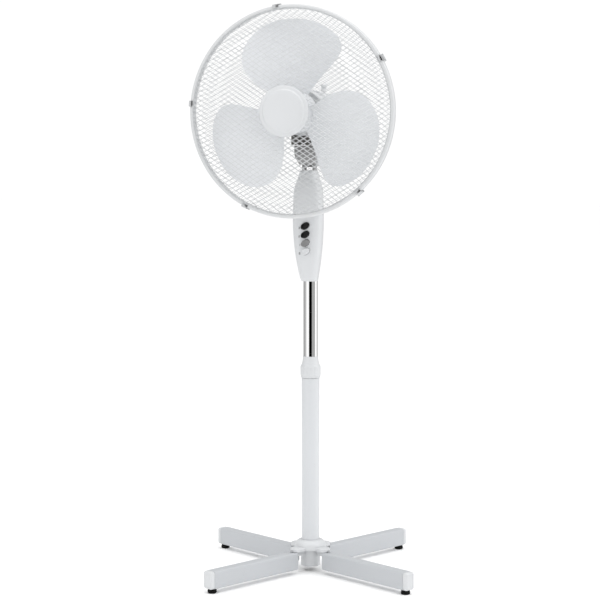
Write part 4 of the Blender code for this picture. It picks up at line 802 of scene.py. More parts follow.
def oval(long, short, count=48):
    outline = []
    for step in range(count):
        angle = math.tau * step / count
        x, y = long * math.cos(angle), short * math.sin(angle)
        outline.append((x * math.cos(button_tilt) - y * math.sin(button_tilt),
                        x * math.sin(button_tilt) + y * math.cos(button_tilt)))
    return outline


def facing_out(x, y, z):
    """Local Z out of the front of the fan, X to its left and Y up."""
    return Matrix.Translation((x, y, z)) @ Matrix.Rotation(math.pi / 2, 4, "X")


for name, node, low_y, high_y in (("box_front", "panel_front_shell", -0.08, seam_y - seam_gap),
                                  ("box_back", "panel_rear_shell", seam_y + seam_gap, 0.08)):
    shell = box_shape(name, 0.0, box_bottom, box_top, 0.0022)
    worked(shell, box_shape("hollow", box_wall, box_bottom + box_wall, box_top - box_wall, 0.001),
           "DIFFERENCE")
    worked(shell, turned("tool", [(mast_radius + 0.0003, box_bottom - 0.01),
                                  (mast_radius + 0.0003, box_bottom + 0.03)]), "DIFFERENCE")
    worked(shell, cube_tool((-0.0131, -0.0208, box_top - 0.01), (0.0131, 0.0048, box_top + 0.01)),
           "DIFFERENCE")
    worked(shell, cube_tool((-0.06, low_y, box_bottom - 0.01), (0.06, high_y, box_top + 0.01)), "INTERSECT")
    if name == "box_front":
        for height in button_heights:
            worked(shell, rounded_block("tool", oval(0.0100, 0.0069), -0.01, 0.01, 0.0002,
                                        facing_out(0.0, -face_at(height) + 0.004, height)), "DIFFERENCE")
    else:
        gland_low, gland_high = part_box("cord_gland")
        spot = facing_out(0.0, (gland_low.y + gland_high.y) / 2, (gland_low.z + gland_high.z) / 2)
        worked(shell, turned("tool", [(0.0044, -0.02), (0.0044, 0.02)], spot, 40), "DIFFERENCE")
    dressed(shell, white_moulding, "mast", [node])

# a small round lens over the pilot lamp, above the buttons
lens_height = 0.7446
lamp_lens = turned("lamp_lens", [(0.0002, 0.0011), (0.0009, 0.0010), (0.0014, 0.0006), (0.0015, 0.0),
                                 (0.0015, -0.0006)],
                   facing_out(0.0014, -face_at(lens_height) + 0.0001, lens_height), 24)
dark_lens = skin_material("dark_lens", (0.05, 0.045, 0.045), (0.07, 0.06, 0.06), 0.12, 900.0, 0.000005)
dressed(lamp_lens, dark_lens, "mast")

# a speed number printed beside each button, built up from straight strokes
printed_black = skin_material("printed_black", (0.03, 0.03, 0.03), (0.05, 0.05, 0.05), 0.5)
strokes = {"top": (0.0, 0.0018, 1), "middle": (0.0, 0.0, 1), "bottom": (0.0, -0.0018, 1),
           "upper_left": (-0.0011, 0.0009, 0),
           "upper_right": (0.0011, 0.0009, 0), "lower_left": (-0.0011, -0.0009, 0),
           "lower_right": (0.0011, -0.0009, 0)}
numbers = (("top", "upper_right", "middle", "lower_right", "bottom"),
           ("top", "upper_right", "middle", "lower_left", "bottom"),
           ("upper_right", "lower_right"), ("top", "bottom", "upper_left", "upper_right", "lower_left",
                                            "lower_right"))
print_parts = []
for height, number in zip(button_heights, numbers):
    for stroke in number:
        x, y, flat = strokes[stroke]
        size = (0.0026, 0.0007) if flat else (0.0007, 0.0022)
        spot = facing_out(-0.0132 + x, -face_at(height - 0.0042 + y) + 0.00035, height - 0.0042 + y)
        print_parts.append(rounded_block("stroke", rounded_rectangle(*size, 0.0002, 1), -0.0006, 0.00012,
                                         0.00004, spot, 1))
printed = gathered("speed_numbers", print_parts)
dressed(printed, printed_black, "mast")


# ---- push buttons ----
# Slanted oval caps with a dished face, coloured black, black, grey and white from the top down. This run from
# dark to light is painted reflection: bright plated caps mirror the dark head above and the pale floor below.
# Each slides into the box.
# Near black for the two upper caps and mid grey for the third: painted reflection of the dark head above and
# the pale floor below.
reflection_black = skin_material("reflection_black", (0.006, 0.006, 0.006), (0.008, 0.008, 0.008), 0.16, 700.0,
                             0.00001, 40.0, specular=0.15)
reflection_grey = skin_material("reflection_grey", (0.215, 0.215, 0.215), (0.185, 0.185, 0.185), 0.26, 700.0, 0.00001,
                         40.0, specular=0.4)
button_finish = {"high": reflection_black, "medium": reflection_black, "low": reflection_grey, "off": white_moulding}
for name, height, (low, high) in zip(button_names, button_heights, button_boxes):
    length = high.y - low.y
    button = rounded_block(f"push_{name}", oval(0.0095, 0.0064), -length, 0.0, 0.0011,
                           facing_out(0.0, low.y, height), 4, 0.0007)
    dressed(button, button_finish[name], f"button_{name}", [f"button_{name}"])

switch_black = skin_material("switch_black", (0.02, 0.02, 0.02), (0.03, 0.03, 0.03), 0.35)
finished("switch_block", switch_black)
finished("cord_gland", black_rubber)


# ---- neck bracket ----
# Moulding fixed in the top of the box: two round-topped ears with the tilt bolt through them. Its mid grey is
# partly the moulding's own colour and partly painted shade, the shade under the motor head.
# Mid grey that is partly the moulding's own colour and partly painted shade from under the motor head.
neck_shade_grey = skin_material("neck_shade_grey", (0.300, 0.300, 0.298), (0.262, 0.262, 0.260), 0.42, 1100.0, 0.00003,
                          30.0)
bolt_low, bolt_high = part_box("tilt_bolt")
tilt_y = (bolt_low.y + bolt_high.y) / 2
tilt_z = (bolt_low.z + bolt_high.z) / 2
bracket_low, bracket_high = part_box("neck_bracket")
ear_outer = bracket_high.x
ear_thickness = 0.0035
ear_inner = ear_outer - ear_thickness
ear_radius = bracket_high.z - tilt_z


def sideways(x):
    """Local Z along +X, local X along +Y and local Y up, about the tilt axis."""
    place = Matrix(((0.0, 0.0, 1.0), (1.0, 0.0, 0.0), (0.0, 1.0, 0.0))).to_4x4()
    place.translation = Vector((x, tilt_y, tilt_z))
    return place


ear_foot = tilt_z - bracket_low.z - 0.004
ear_outline = [(-0.0125, -ear_foot), (0.0125, -ear_foot)]
ear_outline += [(ear_radius * math.cos(math.pi * i / 24),
                 ear_radius * math.sin(math.pi * i / 24)) for i in range(25)]
ears = []
for side in (-1, 1):
    start = ear_inner if side > 0 else -ear_outer
    ear = rounded_block("ear", ear_outline, start, start + ear_thickness, 0.0006, sideways(0.0))
    hole = turned("tool", [(0.0033, -0.03), (0.0033, 0.03)], sideways(0.0), 32)
    ears.append(worked(ear, hole, "DIFFERENCE"))
foot_outline = [(-0.0090, -0.0235), (0.0090, -0.0235), (0.0122, -0.0180), (0.0122, -0.0020),
                (0.0052, 0.0080),
                (-0.0052, 0.0080), (-0.0122, -0.0020), (-0.0122, -0.0180)]
ears.append(rounded_block("foot", foot_outline, bracket_low.z, bracket_low.z + 0.0160, 0.0008))
neck_bracket = gathered("neck_ears", ears)
dressed(neck_bracket, neck_shade_grey, "mast", ["neck_bracket"])


# ---- tilt bolt and knob ----
# A zinc-plated hexagon bolt goes through both ears from one side; a white lobed knob clamps it on the other.
bolt_head = [(0.0054 * math.cos(math.tau * i / 6), 0.0054 * math.sin(math.tau * i / 6)) for i in range(6)]
bolt_parts = [
    rounded_block("head", bolt_head, bolt_low.x, bolt_low.x + 0.0040, 0.0005, sideways(0.0)),
    turned("shank", [(0.0003, bolt_low.x + 0.003), (0.0029, bolt_low.x + 0.003),
                     (0.0029, bolt_high.x - 0.0006),
                     (0.0024, bolt_high.x), (0.0003, bolt_high.x)], sideways(0.0), 32)]
tilt_bolt = gathered("hexagon_bolt", bolt_parts)
dressed(tilt_bolt, zinc_plate, "mast", ["tilt_bolt"])
knob_low, knob_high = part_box("tilt_knob")
knob_outline = []
for step in range(72):
    angle = math.tau * step / 72
    radius = 0.0104 + 0.0012 * math.cos(6 * angle)
    knob_outline.append((radius * math.cos(angle), radius * math.sin(angle)))
tilt_knob = rounded_block("lobed_knob", knob_outline, knob_low.x, knob_high.x, 0.0016, sideways(0.0), 5,
                          0.0008)
dressed(tilt_knob, white_moulding, "tilt_knob", ["tilt_knob"])


# ---- swivel block ----
# Moulding that tilts between the ears, in the same grey that is partly painted shade from under the motor
# head. Its table carries the sweep pin's boss and the link's stud.
swivel_low, swivel_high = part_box("swivel_block")
neck_top = 0.8805 - tilt_z
tongue_half_width = 0.0090
lip = 0.8880 - tilt_z
block_outline = [
    (-0.0363, lip), (-0.0362, 0.0255), (-0.0356, 0.0195), (-0.0346, 0.0135), (-0.0330, 0.0085),
                 (-0.0306, 0.0035),
    (-0.0272, -0.0005), (-0.0230, -0.0042), (-0.0197, -0.0064), (-0.0170, -0.0073), (-0.0152, -0.0040),
                 (-0.0145, 0.0020),
    (-0.0122, 0.0098), (-0.0100, 0.0130), (-0.0080, 0.0150), (0.0155, 0.0150), (0.0185, 0.0165),
                 (0.0200, 0.0200),
    (0.0200, neck_top), (-0.0130, neck_top), (-0.0130, lip)]
table = rounded_block("swivel_table", block_outline, swivel_low.x, swivel_high.x, 0.0008, sideways(0.0))
waist_outline = [(-0.0150, -0.0100), (0.0150, -0.0100), (0.0188, 0.0020), (0.0212, 0.0080),
                 (0.0225, 0.0150), (0.0225, 0.0450),
                 (-0.0225, 0.0450), (-0.0225, 0.0150), (-0.0212, 0.0080), (-0.0188, 0.0020)]
worked(table, rounded_block("tool", waist_outline, -0.06, 0.06, 0.0001, facing_out(0.0, tilt_y, tilt_z)),
       "INTERSECT", 50.0)
tongue_outline = [(0.0113 * math.cos(math.pi + math.pi * i / 24),
                   0.0113 * math.sin(math.pi + math.pi * i / 24)) for i in range(25)]
tongue_outline += [(0.0113, neck_top - 0.003), (-0.0113, neck_top - 0.003)]
tongue = rounded_block("tongue", tongue_outline, -tongue_half_width, tongue_half_width, 0.0008,
                       sideways(0.0))
worked(table, tongue, "UNION")
pin_low, pin_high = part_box("sweep_pin")
sweep_y = (pin_low.y + pin_high.y) / 2
boss = turned("boss", [(0.0042, 0.8700), (0.0070, 0.8700), (0.0068, 0.8812), (0.0064, 0.8830),
                       (0.0063, 0.8880), (0.0058, 0.8884),
                       (0.0042, 0.8884)], Matrix.Translation((0.0, sweep_y, 0.0)), 40, closed=True)
stud = turned("stud", [(0.0002, 0.8785), (0.0020, 0.8785), (0.0019, 0.8860), (0.0015, 0.8864),
                       (0.0002, 0.8864)],
              Matrix.Translation((0.0185, sweep_y, 0.0)), 24)
swivel = gathered("swivel_block_skin", [table, boss, stud])
dressed(swivel, neck_shade_grey, "swivel", ["swivel_block"])


# ---- motor front cover ----
# White moulding: a round drum with cooling slots in its face and a threaded boss for the guard nut.
def head_place():
    """Local Z ahead of the fan on the blade's axis, X to its left."""
    return facing_out(0.0, 0.0, head_z)


guard_low, guard_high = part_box("front_guard")
head_z = (guard_low.z + guard_high.z) / 2
front_low, front_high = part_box("motor_front_cover")
motor_radius = front_high.x
boss_front = -front_low.y
motor_front = boss_front - 0.018
motor_back = -front_high.y
# Dark brownish grey, partly the saddle's own colour and partly painted shade from under the motor head.
motor_shade_grey = skin_material("motor_shade_grey", (0.105, 0.100, 0.092), (0.080, 0.077, 0.071), 0.46, 1000.0,
                           0.00004, 22.0)
drum = turned("motor_drum", [
    (0.0075, boss_front - 0.0008), (0.0122, boss_front), (0.0128, boss_front - 0.0010),
                             (0.0128, motor_front + 0.0012),
    (0.0150, motor_front + 0.0004), (0.0380, motor_front), (0.0425, motor_front - 0.0010),
                             (0.0450, motor_front - 0.0035),
    (motor_radius, motor_front - 0.0070), (motor_radius, motor_back + 0.0050), (motor_radius, motor_back),
    (motor_radius - 0.0022, motor_back), (motor_radius - 0.0022, motor_front - 0.008),
                             (motor_radius - 0.008, motor_front - 0.0026),
    (0.0125, motor_front - 0.0026), (0.0125, motor_front - 0.0115), (0.0092, motor_front - 0.0115),
    (0.0092, motor_front - 0.0032), (0.0075, motor_front - 0.0032)], head_place(), 96, closed=True)
cutter_parts = []
for step in range(16):
    place = head_place() @ disc_turn(math.tau * (step + 0.5) / 16) @ Matrix.Translation((0.0290, 0.0,
                                                                                         motor_front))
    cutter_parts.append(rounded_block("tool", rounded_rectangle(0.0130, 0.0026, 0.0012, 3), -0.01, 0.01,
                                      0.0002, place))
worked(drum, gathered("tool", cutter_parts), "DIFFERENCE")
thread_parts = [drum]
for step in range(5):
    level = boss_front - 0.0030 - 0.0026 * step
    thread_parts.append(turned("thread", [(0.0126, level), (0.0130, level - 0.0007),
                                          (0.0126, level - 0.0014)], head_place(), 64))
front_cover = gathered("motor_front", thread_parts)
dressed(front_cover, white_moulding, "head", ["motor_front_cover"])


# ---- head bracket ----
# A saddle moulding screwed up against the motor's front cover, which turns on the sweep pin. Its dark
# brownish grey is partly its own colour and partly painted shade, the shade under the motor head.
saddle_low, saddle_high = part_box("head_bracket")
saddle_rings = []
for rise, inward in ((0.0, 0.0020), (0.0006, 0.0007), (0.0020, 0.0), (saddle_high.z - saddle_low.z, 0.0)):
    half = saddle_high.x - inward
    front, back = -saddle_low.y - inward, -saddle_high.y + inward
    saddle_rings.append([Vector((x, y - (front + back) / 2, saddle_low.z + rise))
                         for x, y in rounded_rectangle(2 * half, front - back, 0.006)])
saddle = lofted("saddle", saddle_rings)
cavity = turned("tool", [(motor_radius + 0.0003, motor_back - 0.004),
                         (motor_radius + 0.0003, motor_front + 0.002)], head_place(), 96)
worked(saddle, cavity, "DIFFERENCE")
dressed(saddle, motor_shade_grey, "head", ["head_bracket"])


# ---- motor rear cover ----
# White moulding over the motor and the sweep gear: a drum that rounds over at the back, with rings of slots.
rear_low, rear_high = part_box("motor_rear_cover")
rear_radius = rear_high.x
rear_front, rear_back = -rear_low.y, -rear_high.y
rear_profile = [(rear_radius - 0.0020, rear_front), (rear_radius - 0.0004, rear_front),
                (rear_radius, rear_front - 0.0005),
                (rear_radius, rear_front - 0.0060), (rear_radius - 0.0006, rear_front - 0.0066),
                (rear_radius - 0.0006, rear_front - 0.0076),
                (rear_radius, rear_front - 0.0082)]
bend = 0.034
rear_wall = 0.002
for step in range(19):
    angle = math.pi / 2 * step / 18
    rear_profile.append((max(rear_radius * math.cos(angle) ** 0.8, 0.0002),
                         rear_back + bend - bend * math.sin(angle)))
for step in range(18, -1, -1):
    angle = math.pi / 2 * step / 18
    rear_profile.append((max((rear_radius - rear_wall) * math.cos(angle) ** 0.8, 0.0002),
                         rear_back + bend - (bend - rear_wall) * math.sin(angle)))
rear_cover = turned("motor_rear", rear_profile, head_place(), 96, closed=True)
vents = []
for ring_radius, count, length in ((0.0135, 10, 0.0070), (0.0240, 18, 0.0075), (0.0335, 24, 0.0060)):
    for step in range(count):
        place = head_place() @ disc_turn(math.tau * (step + 0.5) / count) @ Matrix.Translation((ring_radius,
                                                                                                0.0,
                                                                                                rear_back
                                                                                                + 0.010))
        vents.append(rounded_block("vent", rounded_rectangle(length, 0.0022, 0.0010, 3), -0.016, 0.016,
                                   0.0002, place))
worked(rear_cover, gathered("tool", vents), "DIFFERENCE")
clutch_low, clutch_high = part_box("clutch_knob")
clutch_spot = (clutch_low + clutch_high) / 2
gear_y = clutch_spot.y
worked(rear_cover, turned("tool", [(0.0028, head_z + 0.02), (0.0028, head_z + 0.06)],
                          Matrix.Translation((clutch_spot.x, gear_y, 0.0)), 24), "DIFFERENCE")
worked(rear_cover, turned("tool", [(0.0045, head_z - 0.06), (0.0045, head_z - 0.03)],
                          Matrix.Translation((-0.0065, gear_y, 0.0)), 24), "DIFFERENCE")
dressed(rear_cover, white_moulding, "head", ["motor_rear_cover"])


# ---- clutch knob ----
# White moulded pull knob on a steel rod through the worm wheel: down, the head sweeps; up, it stands still.
crown = clutch_high.z - 0.015
clutch_profile = [(0.0002, clutch_low.z), (0.0017, clutch_low.z), (0.0017, crown), (0.0054, crown),
                  (0.0057, crown + 0.0005), (0.0050, crown + 0.0040),
                  (0.0053, crown + 0.0080), (0.0062, crown + 0.0110), (0.0064, crown + 0.0122),
                  (0.0060, crown + 0.0136), (0.0045, crown + 0.0148),
                  (0.0020, crown + 0.0149), (0.0002, crown + 0.0146)]
clutch = turned("pull_knob", clutch_profile, Matrix.Translation((clutch_spot.x, gear_y, 0.0)), 48)
dressed(clutch, white_moulding, "clutch", ["clutch_knob"])


# ---- motor works ----
# What shows through the slots and under the head: laminated core, varnished winding, bronze bearings, acetal
# gear plate and wheel, and the steel crank, link and pin.
laminated = metal_material("laminated_steel", (0.30, 0.31, 0.33), (0.22, 0.20, 0.19), 0.42,
                           (60.0, 1800.0, 60.0), 0.00005)
winding_copper = metal_material("winding_copper", (0.60, 0.26, 0.12), (0.42, 0.16, 0.07), 0.34,
                                (300.0, 2200.0, 300.0), 0.00005)
sintered_bronze = metal_material("sintered_bronze", (0.50, 0.36, 0.18), (0.38, 0.26, 0.12), 0.40,
                                 (900.0, 900.0, 900.0), 0.00002)
acetal = skin_material("natural_acetal", (0.72, 0.70, 0.62), (0.66, 0.64, 0.56), 0.40)
turned_steel = metal_material("turned_steel", (0.55, 0.56, 0.57), (0.42, 0.42, 0.43), 0.26,
                              (1400.0, 120.0, 1400.0))
for node, material in (
        ("stator_core", laminated), ("rotor_core", laminated), ("stator_winding", winding_copper),
                       ("bearing_front", sintered_bronze),
        ("bearing_rear", sintered_bronze), ("gearbox_housing", acetal), ("worm_wheel", acetal),
                       ("motor_shaft", turned_steel),
        ("sweep_pin", turned_steel), ("crank_gear", zinc_plate), ("crank_link", zinc_plate)):
    finished(node, material)


# ---- guards ----
# Each guard is a domed net of crossing wires, welded at a solid rim and to a plate in the middle, all sprayed
# white. The rear one is clamped to the motor and the front one is clipped to it.
def net_tree():
    """One family of parallel wires laid over a dome: rows across, each wire bent through its own points."""
    tree = bpy.data.node_groups.new("guard_net", "GeometryNodeTree")
    for name, kind in (("Rows", "NodeSocketInt"), ("Bends", "NodeSocketInt"), ("Pitch", "NodeSocketFloat"),
                       ("Slope", "NodeSocketFloat"),
                       ("Reach", "NodeSocketFloat"), ("Base", "NodeSocketFloat"),
                       ("Rise", "NodeSocketFloat"),
                       ("Bow", "NodeSocketFloat"), ("Open Middle", "NodeSocketFloat"),
                       ("Wire", "NodeSocketFloat"), ("Material", "NodeSocketMaterial")):
        tree.interface.new_socket(name=name, in_out="INPUT", socket_type=kind)
    tree.interface.new_socket(name="Net", in_out="OUTPUT", socket_type="NodeSocketGeometry")
    entry = node_of(tree, "NodeGroupInput")
    leave = node_of(tree, "NodeGroupOutput")

    def sum_of(operation, *values):
        node = node_of(tree, "ShaderNodeMath", operation=operation)
        for slot, value in enumerate(values):
            wired(tree, node, slot, value)
        return node.outputs[0]

    def vector_of(x, y, z):
        node = node_of(tree, "ShaderNodeCombineXYZ")
        for slot, value in enumerate((x, y, z)):
            wired(tree, node, slot, value)
        return node.outputs[0]

    count = sum_of("ADD", sum_of("MULTIPLY", entry.outputs["Rows"], 2.0), 1.0)
    rows = node_of(tree, "GeometryNodeMeshLine")
    wired(tree, rows, "Count", count)
    wired(tree, rows, "Start Location", vector_of(0.0, sum_of("MULTIPLY", entry.outputs["Rows"], -1.0),
                                                  0.0))
    wired(tree, rows, "Offset", (0.0, 1.0, 0.0))
    wire_line = node_of(tree, "GeometryNodeMeshLine")
    wired(tree, wire_line, "Count", sum_of("ADD", entry.outputs["Bends"], 1.0))
    wired(tree, wire_line, "Offset", vector_of(sum_of("DIVIDE", 1.0, entry.outputs["Bends"]), 0.0, 0.0))
    stand = node_of(tree, "GeometryNodeInstanceOnPoints")
    wired(tree, stand, "Points", rows.outputs["Mesh"])
    wired(tree, stand, "Instance", wire_line.outputs["Mesh"])
    lines = node_of(tree, "GeometryNodeRealizeInstances")
    wired(tree, lines, "Geometry", stand.outputs["Instances"])
    spot = node_of(tree, "ShaderNodeSeparateXYZ")
    wired(tree, spot, 0, node_of(tree, "GeometryNodeInputPosition").outputs[0])
    offset = sum_of("MULTIPLY", sum_of("ADD", spot.outputs["Y"], 0.25), entry.outputs["Pitch"])
    reach_squared = sum_of("POWER", entry.outputs["Reach"], 2.0)
    offset_squared = sum_of("POWER", sum_of("ABSOLUTE", offset), 2.0)
    half = sum_of("SQRT", sum_of("MAXIMUM", sum_of("SUBTRACT", reach_squared, offset_squared), 0.000001))
    along = sum_of("MULTIPLY", half, sum_of("SINE",
                                            sum_of("MULTIPLY", sum_of("SUBTRACT", spot.outputs["X"], 0.5),
                                                   math.pi)))
    cosine = sum_of("COSINE", entry.outputs["Slope"])
    sine = sum_of("SINE", entry.outputs["Slope"])
    x = sum_of("SUBTRACT", sum_of("MULTIPLY", along, cosine), sum_of("MULTIPLY", offset, sine))
    y = sum_of("ADD", sum_of("MULTIPLY", along, sine), sum_of("MULTIPLY", offset, cosine))
    radius = sum_of("SQRT", sum_of("ADD", sum_of("MULTIPLY", x, x), sum_of("MULTIPLY", y, y)))
    share = sum_of("MINIMUM", sum_of("DIVIDE", radius, entry.outputs["Reach"]), 1.0)
    dome = sum_of("SQRT", sum_of("MAXIMUM", sum_of("SUBTRACT", 1.0,
                                                   sum_of("POWER", share, entry.outputs["Bow"])), 0.0))
    level = sum_of("ADD", entry.outputs["Base"], sum_of("MULTIPLY", entry.outputs["Rise"], dome))
    laid = node_of(tree, "GeometryNodeSetPosition")
    wired(tree, laid, "Geometry", lines.outputs["Geometry"])
    wired(tree, laid, "Position", vector_of(x, y, level))
    hole = node_of(tree, "GeometryNodeDeleteGeometry", domain="POINT")
    wired(tree, hole, "Geometry", laid.outputs["Geometry"])
    inside = node_of(tree, "FunctionNodeCompare", data_type="FLOAT", operation="LESS_THAN")
    final = node_of(tree, "GeometryNodeInputPosition")
    flat = node_of(tree, "ShaderNodeVectorMath", operation="MULTIPLY")
    wired(tree, flat, 0, final.outputs[0])
    wired(tree, flat, 1, (1.0, 1.0, 0.0))
    reach = node_of(tree, "ShaderNodeVectorMath", operation="LENGTH")
    wired(tree, reach, 0, flat.outputs[0])
    wired(tree, inside, 0, reach.outputs["Value"])
    wired(tree, inside, 1, entry.outputs["Open Middle"])
    wired(tree, hole, "Selection", inside.outputs[0])
    curves = node_of(tree, "GeometryNodeMeshToCurve")
    wired(tree, curves, "Mesh", hole.outputs["Geometry"])
    section = node_of(tree, "GeometryNodeCurvePrimitiveCircle")
    wired(tree, section, "Resolution", 5)
    wired(tree, section, "Radius", entry.outputs["Wire"])
    wires = node_of(tree, "GeometryNodeCurveToMesh")
    wired(tree, wires, "Curve", curves.outputs["Curve"])
    wired(tree, wires, "Profile Curve", section.outputs["Curve"])
    wired(tree, wires, "Fill Caps", True)
    shaded = node_of(tree, "GeometryNodeSetShadeSmooth")
    wired(tree, shaded, 0, wires.outputs["Mesh"])
    solid = node_of(tree, "GeometryNodeRealizeInstances")
    wired(tree, solid, "Geometry", shaded.outputs[0])
    cover = node_of(tree, "GeometryNodeSetMaterial")
    wired(tree, cover, "Geometry", solid.outputs["Geometry"])
    wired(tree, cover, "Material", entry.outputs["Material"])
    wired(tree, leave, "Net", cover.outputs["Geometry"])
    return tree


guard_net = net_tree()
net_pitch = 0.00835
net_reach = guard_high.x - 0.0072
net_wire = 0.00055
net_opening = 0.040
net_crossing = 0.0004


def net_family(slope, base, rise, wire, open_middle):
    piece = linked("net", bpy.data.meshes.new("net"))
    modifier = piece.modifiers.new("net", "NODES")
    modifier.node_group = guard_net
    for name, value in (("Rows", int(net_reach / net_pitch)), ("Bends", 26), ("Pitch", net_pitch),
                        ("Slope", slope), ("Reach", net_reach),
                        ("Base", base), ("Rise", rise), ("Bow", 2.5), ("Open Middle", open_middle),
                        ("Wire", wire), ("Material", guard_white)):
        modifier[socket_id(guard_net, name)] = value
    baked(piece)
    piece.data.transform(head_place())
    return piece


guard_white = skin_material("guard_white", (0.600, 0.610, 0.618), (0.575, 0.586, 0.594), 0.34, 500.0,
                            0.00002, 7.0)
guard_radius = guard_high.x
rim_plane = 0.138
front_base = rim_plane + 0.005
cap_low, cap_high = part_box("centre_cap")
plate_front = -cap_high.y - 0.0003
front_rise = plate_front - 0.0017 - front_base
slope_up, slope_down = math.radians(30.0), math.radians(-34.0)
front_rim = turned("front_rim", [
    (guard_radius - 0.0085, rim_plane + 0.0010), (guard_radius - 0.0075, rim_plane + 0.0003),
                                 (guard_radius - 0.0006, rim_plane + 0.0003),
    (guard_radius, rim_plane + 0.0010), (guard_radius, rim_plane + 0.0060),
                                 (guard_radius - 0.0012, rim_plane + 0.0086),
    (guard_radius - 0.0040, rim_plane + 0.0098), (guard_radius - 0.0070, rim_plane + 0.0092),
                                 (guard_radius - 0.0088, rim_plane + 0.0068),
    (guard_radius - 0.0090, rim_plane + 0.0040)], head_place(), 192, closed=True, sharp=60.0)
front_plate = turned("front_plate", [
    (0.0002, plate_front - 0.0034), (0.0450, plate_front - 0.0034), (0.0460, plate_front - 0.0026),
                                     (0.0460, plate_front - 0.0008),
    (0.0452, plate_front), (0.0002, plate_front)], head_place(), 96)
front_guard = gathered("front_guard_net", [
    net_family(slope_up, front_base, front_rise + net_crossing, net_wire, net_opening),
                                           net_family(slope_down, front_base, front_rise - net_crossing,
                                                      net_wire, net_opening),
    front_rim, front_plate])
dressed(front_guard, guard_white, "head", ["front_guard"])

back_base = rim_plane - 0.005
back_plate = motor_front + 0.0003
rear_rise = back_plate + 0.0017 - back_base
rear_rim = turned("rear_rim", [
    (guard_radius - 0.0086, rim_plane - 0.0010), (guard_radius - 0.0082, rim_plane - 0.0040),
                               (guard_radius - 0.0080, rim_plane - 0.0075),
    (guard_radius - 0.0060, rim_plane - 0.0094), (guard_radius - 0.0030, rim_plane - 0.0100),
                               (guard_radius - 0.0008, rim_plane - 0.0088),
    (guard_radius, rim_plane - 0.0060), (guard_radius, rim_plane - 0.0010),
                               (guard_radius - 0.0006, rim_plane - 0.0004),
    (guard_radius - 0.0080, rim_plane - 0.0004)], head_place(), 192, closed=True, sharp=60.0)
rear_plate = turned("rear_plate", [
    (0.0133, back_plate), (0.0450, back_plate), (0.0460, back_plate + 0.0008),
                                   (0.0460, back_plate + 0.0026), (0.0452, back_plate + 0.0034),
    (0.0133, back_plate + 0.0034)], head_place(), 96, closed=True)
clip_angles = [math.radians(a) for a in (29.3, 98.3, 175.1, 242.9, 311.4)]
lugs = []
for angle in clip_angles:
    for side in (-1, 1):
        place = head_place() @ disc_turn(angle) @ Matrix.Translation((guard_radius + 0.0012, side * 0.0071,
                                                                      rim_plane - 0.0075))
        lugs.append(rounded_block("lug", rounded_rectangle(0.0062, 0.0015, 0.0004, 2), -0.0020, 0.0020,
                                  0.0003, place))
rear_guard = gathered("rear_guard_net", [
    net_family(slope_up, back_base, rear_rise - net_crossing, net_wire, net_opening),
                                         net_family(slope_down, back_base, rear_rise + net_crossing,
                                                    net_wire, net_opening),
    rear_rim, rear_plate] + lugs)
dressed(rear_guard, guard_white, "head", ["rear_guard"])


# ---- guard lock nut ----
# White moulded ring nut with finger ribs that screws onto the motor's boss and clamps the rear guard.
nut_low, nut_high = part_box("guard_lock_nut")
nut_outline = []
for step in range(120):
    angle = math.tau * step / 120
    radius = nut_high.x - 0.0003 - 0.0010 * (0.5 - 0.5 * math.cos(20 * angle))
    nut_outline.append((radius * math.cos(angle), radius * math.sin(angle)))
lock_nut = rounded_block("lock_nut", nut_outline, -nut_high.y, -nut_low.y, 0.0010, head_place())
worked(lock_nut, turned("tool", [(0.0133, -nut_high.y - 0.01), (0.0133, -nut_low.y + 0.01)], head_place(),
                        64), "DIFFERENCE")
dressed(lock_nut, white_moulding, "head", ["guard_lock_nut"])


# ---- blade ----
# One pale moulding: three wide rounded vanes twisted round a hub, thicker at the root and thin at the rim.
blade_white = skin_material("blade_white", (0.740, 0.755, 0.775), (0.725, 0.740, 0.760), 0.40, 700.0,
                            0.00002, 5.0)
hub_back, hub_front = 0.0905, 0.1425
blade_tip = 0.185
blade_middle = 0.1215
hub_radius = 0.041


def vane_edges(radius):
    trailing, leading = math.radians(49.5), math.radians(40.0)
    if radius > 0.080:
        trailing *= max(1.0 - ((radius - 0.080) / (blade_tip - 0.080)) ** 2.5, 0.0) ** 0.5
    else:
        trailing *= 0.72 + 0.28 * (radius / 0.080)
    if radius > 0.120:
        leading *= max(1.0 - ((radius - 0.120) / (blade_tip - 0.120)) ** 4.0, 0.0) ** 0.5
    else:
        leading *= 0.80 + 0.20 * (radius / 0.120)
    return trailing, -leading


def vane(turn):
    """A lens-edged sheet between the two edges, on a screw surface."""
    rows, columns = 40, 32
    sheet = bmesh.new()
    faces_of = []
    for side in (1, -1):
        grid = []
        for i in range(rows + 1):
            radius = hub_radius - 0.0010 + (blade_tip + 0.0002 - hub_radius) * math.sin(math.pi / 2 * i
                                                                                        / rows)
            trailing, leading = vane_edges(radius)
            line = []
            for j in range(columns + 1):
                t = j / columns
                angle = leading + (trailing - leading) * t
                rim = min(1.0, 6.0 * min(t, 1 - t), 5.0 * (1 - math.sin(math.pi / 2 * i / rows)) + 0.10)
                thick = (0.00105 - 0.0004 * i / rows) * (0.25 + 0.75 * math.sqrt(max(rim, 0.0)))
                ahead = blade_middle + 0.036 * (angle - math.radians(4.8)) + side * thick
                line.append(sheet.verts.new((radius * math.cos(turn + angle),
                                             radius * math.sin(turn + angle), ahead)))
            grid.append(line)
        for inner, outer in zip(grid, grid[1:]):
            for j in range(columns):
                quad = (inner[j], outer[j], outer[j + 1], inner[j + 1])
                sheet.faces.new(quad if side > 0 else tuple(reversed(quad)))
        faces_of.append(grid)
    front, back = faces_of
    border = [(i, 0) for i in range(rows)] + [(rows, j) for j in range(columns)]
    border += [(i, columns) for i in range(rows, 0, -1)] + [(0, j) for j in range(columns, 0, -1)]
    for (a, b), (c, d) in zip(border, border[1:] + border[:1]):
        sheet.faces.new((front[a][b], front[c][d], back[c][d], back[a][b]))
    piece = linked("vane", smooth_mesh("vane", sheet, 60.0))
    piece.data.transform(head_place())
    return piece


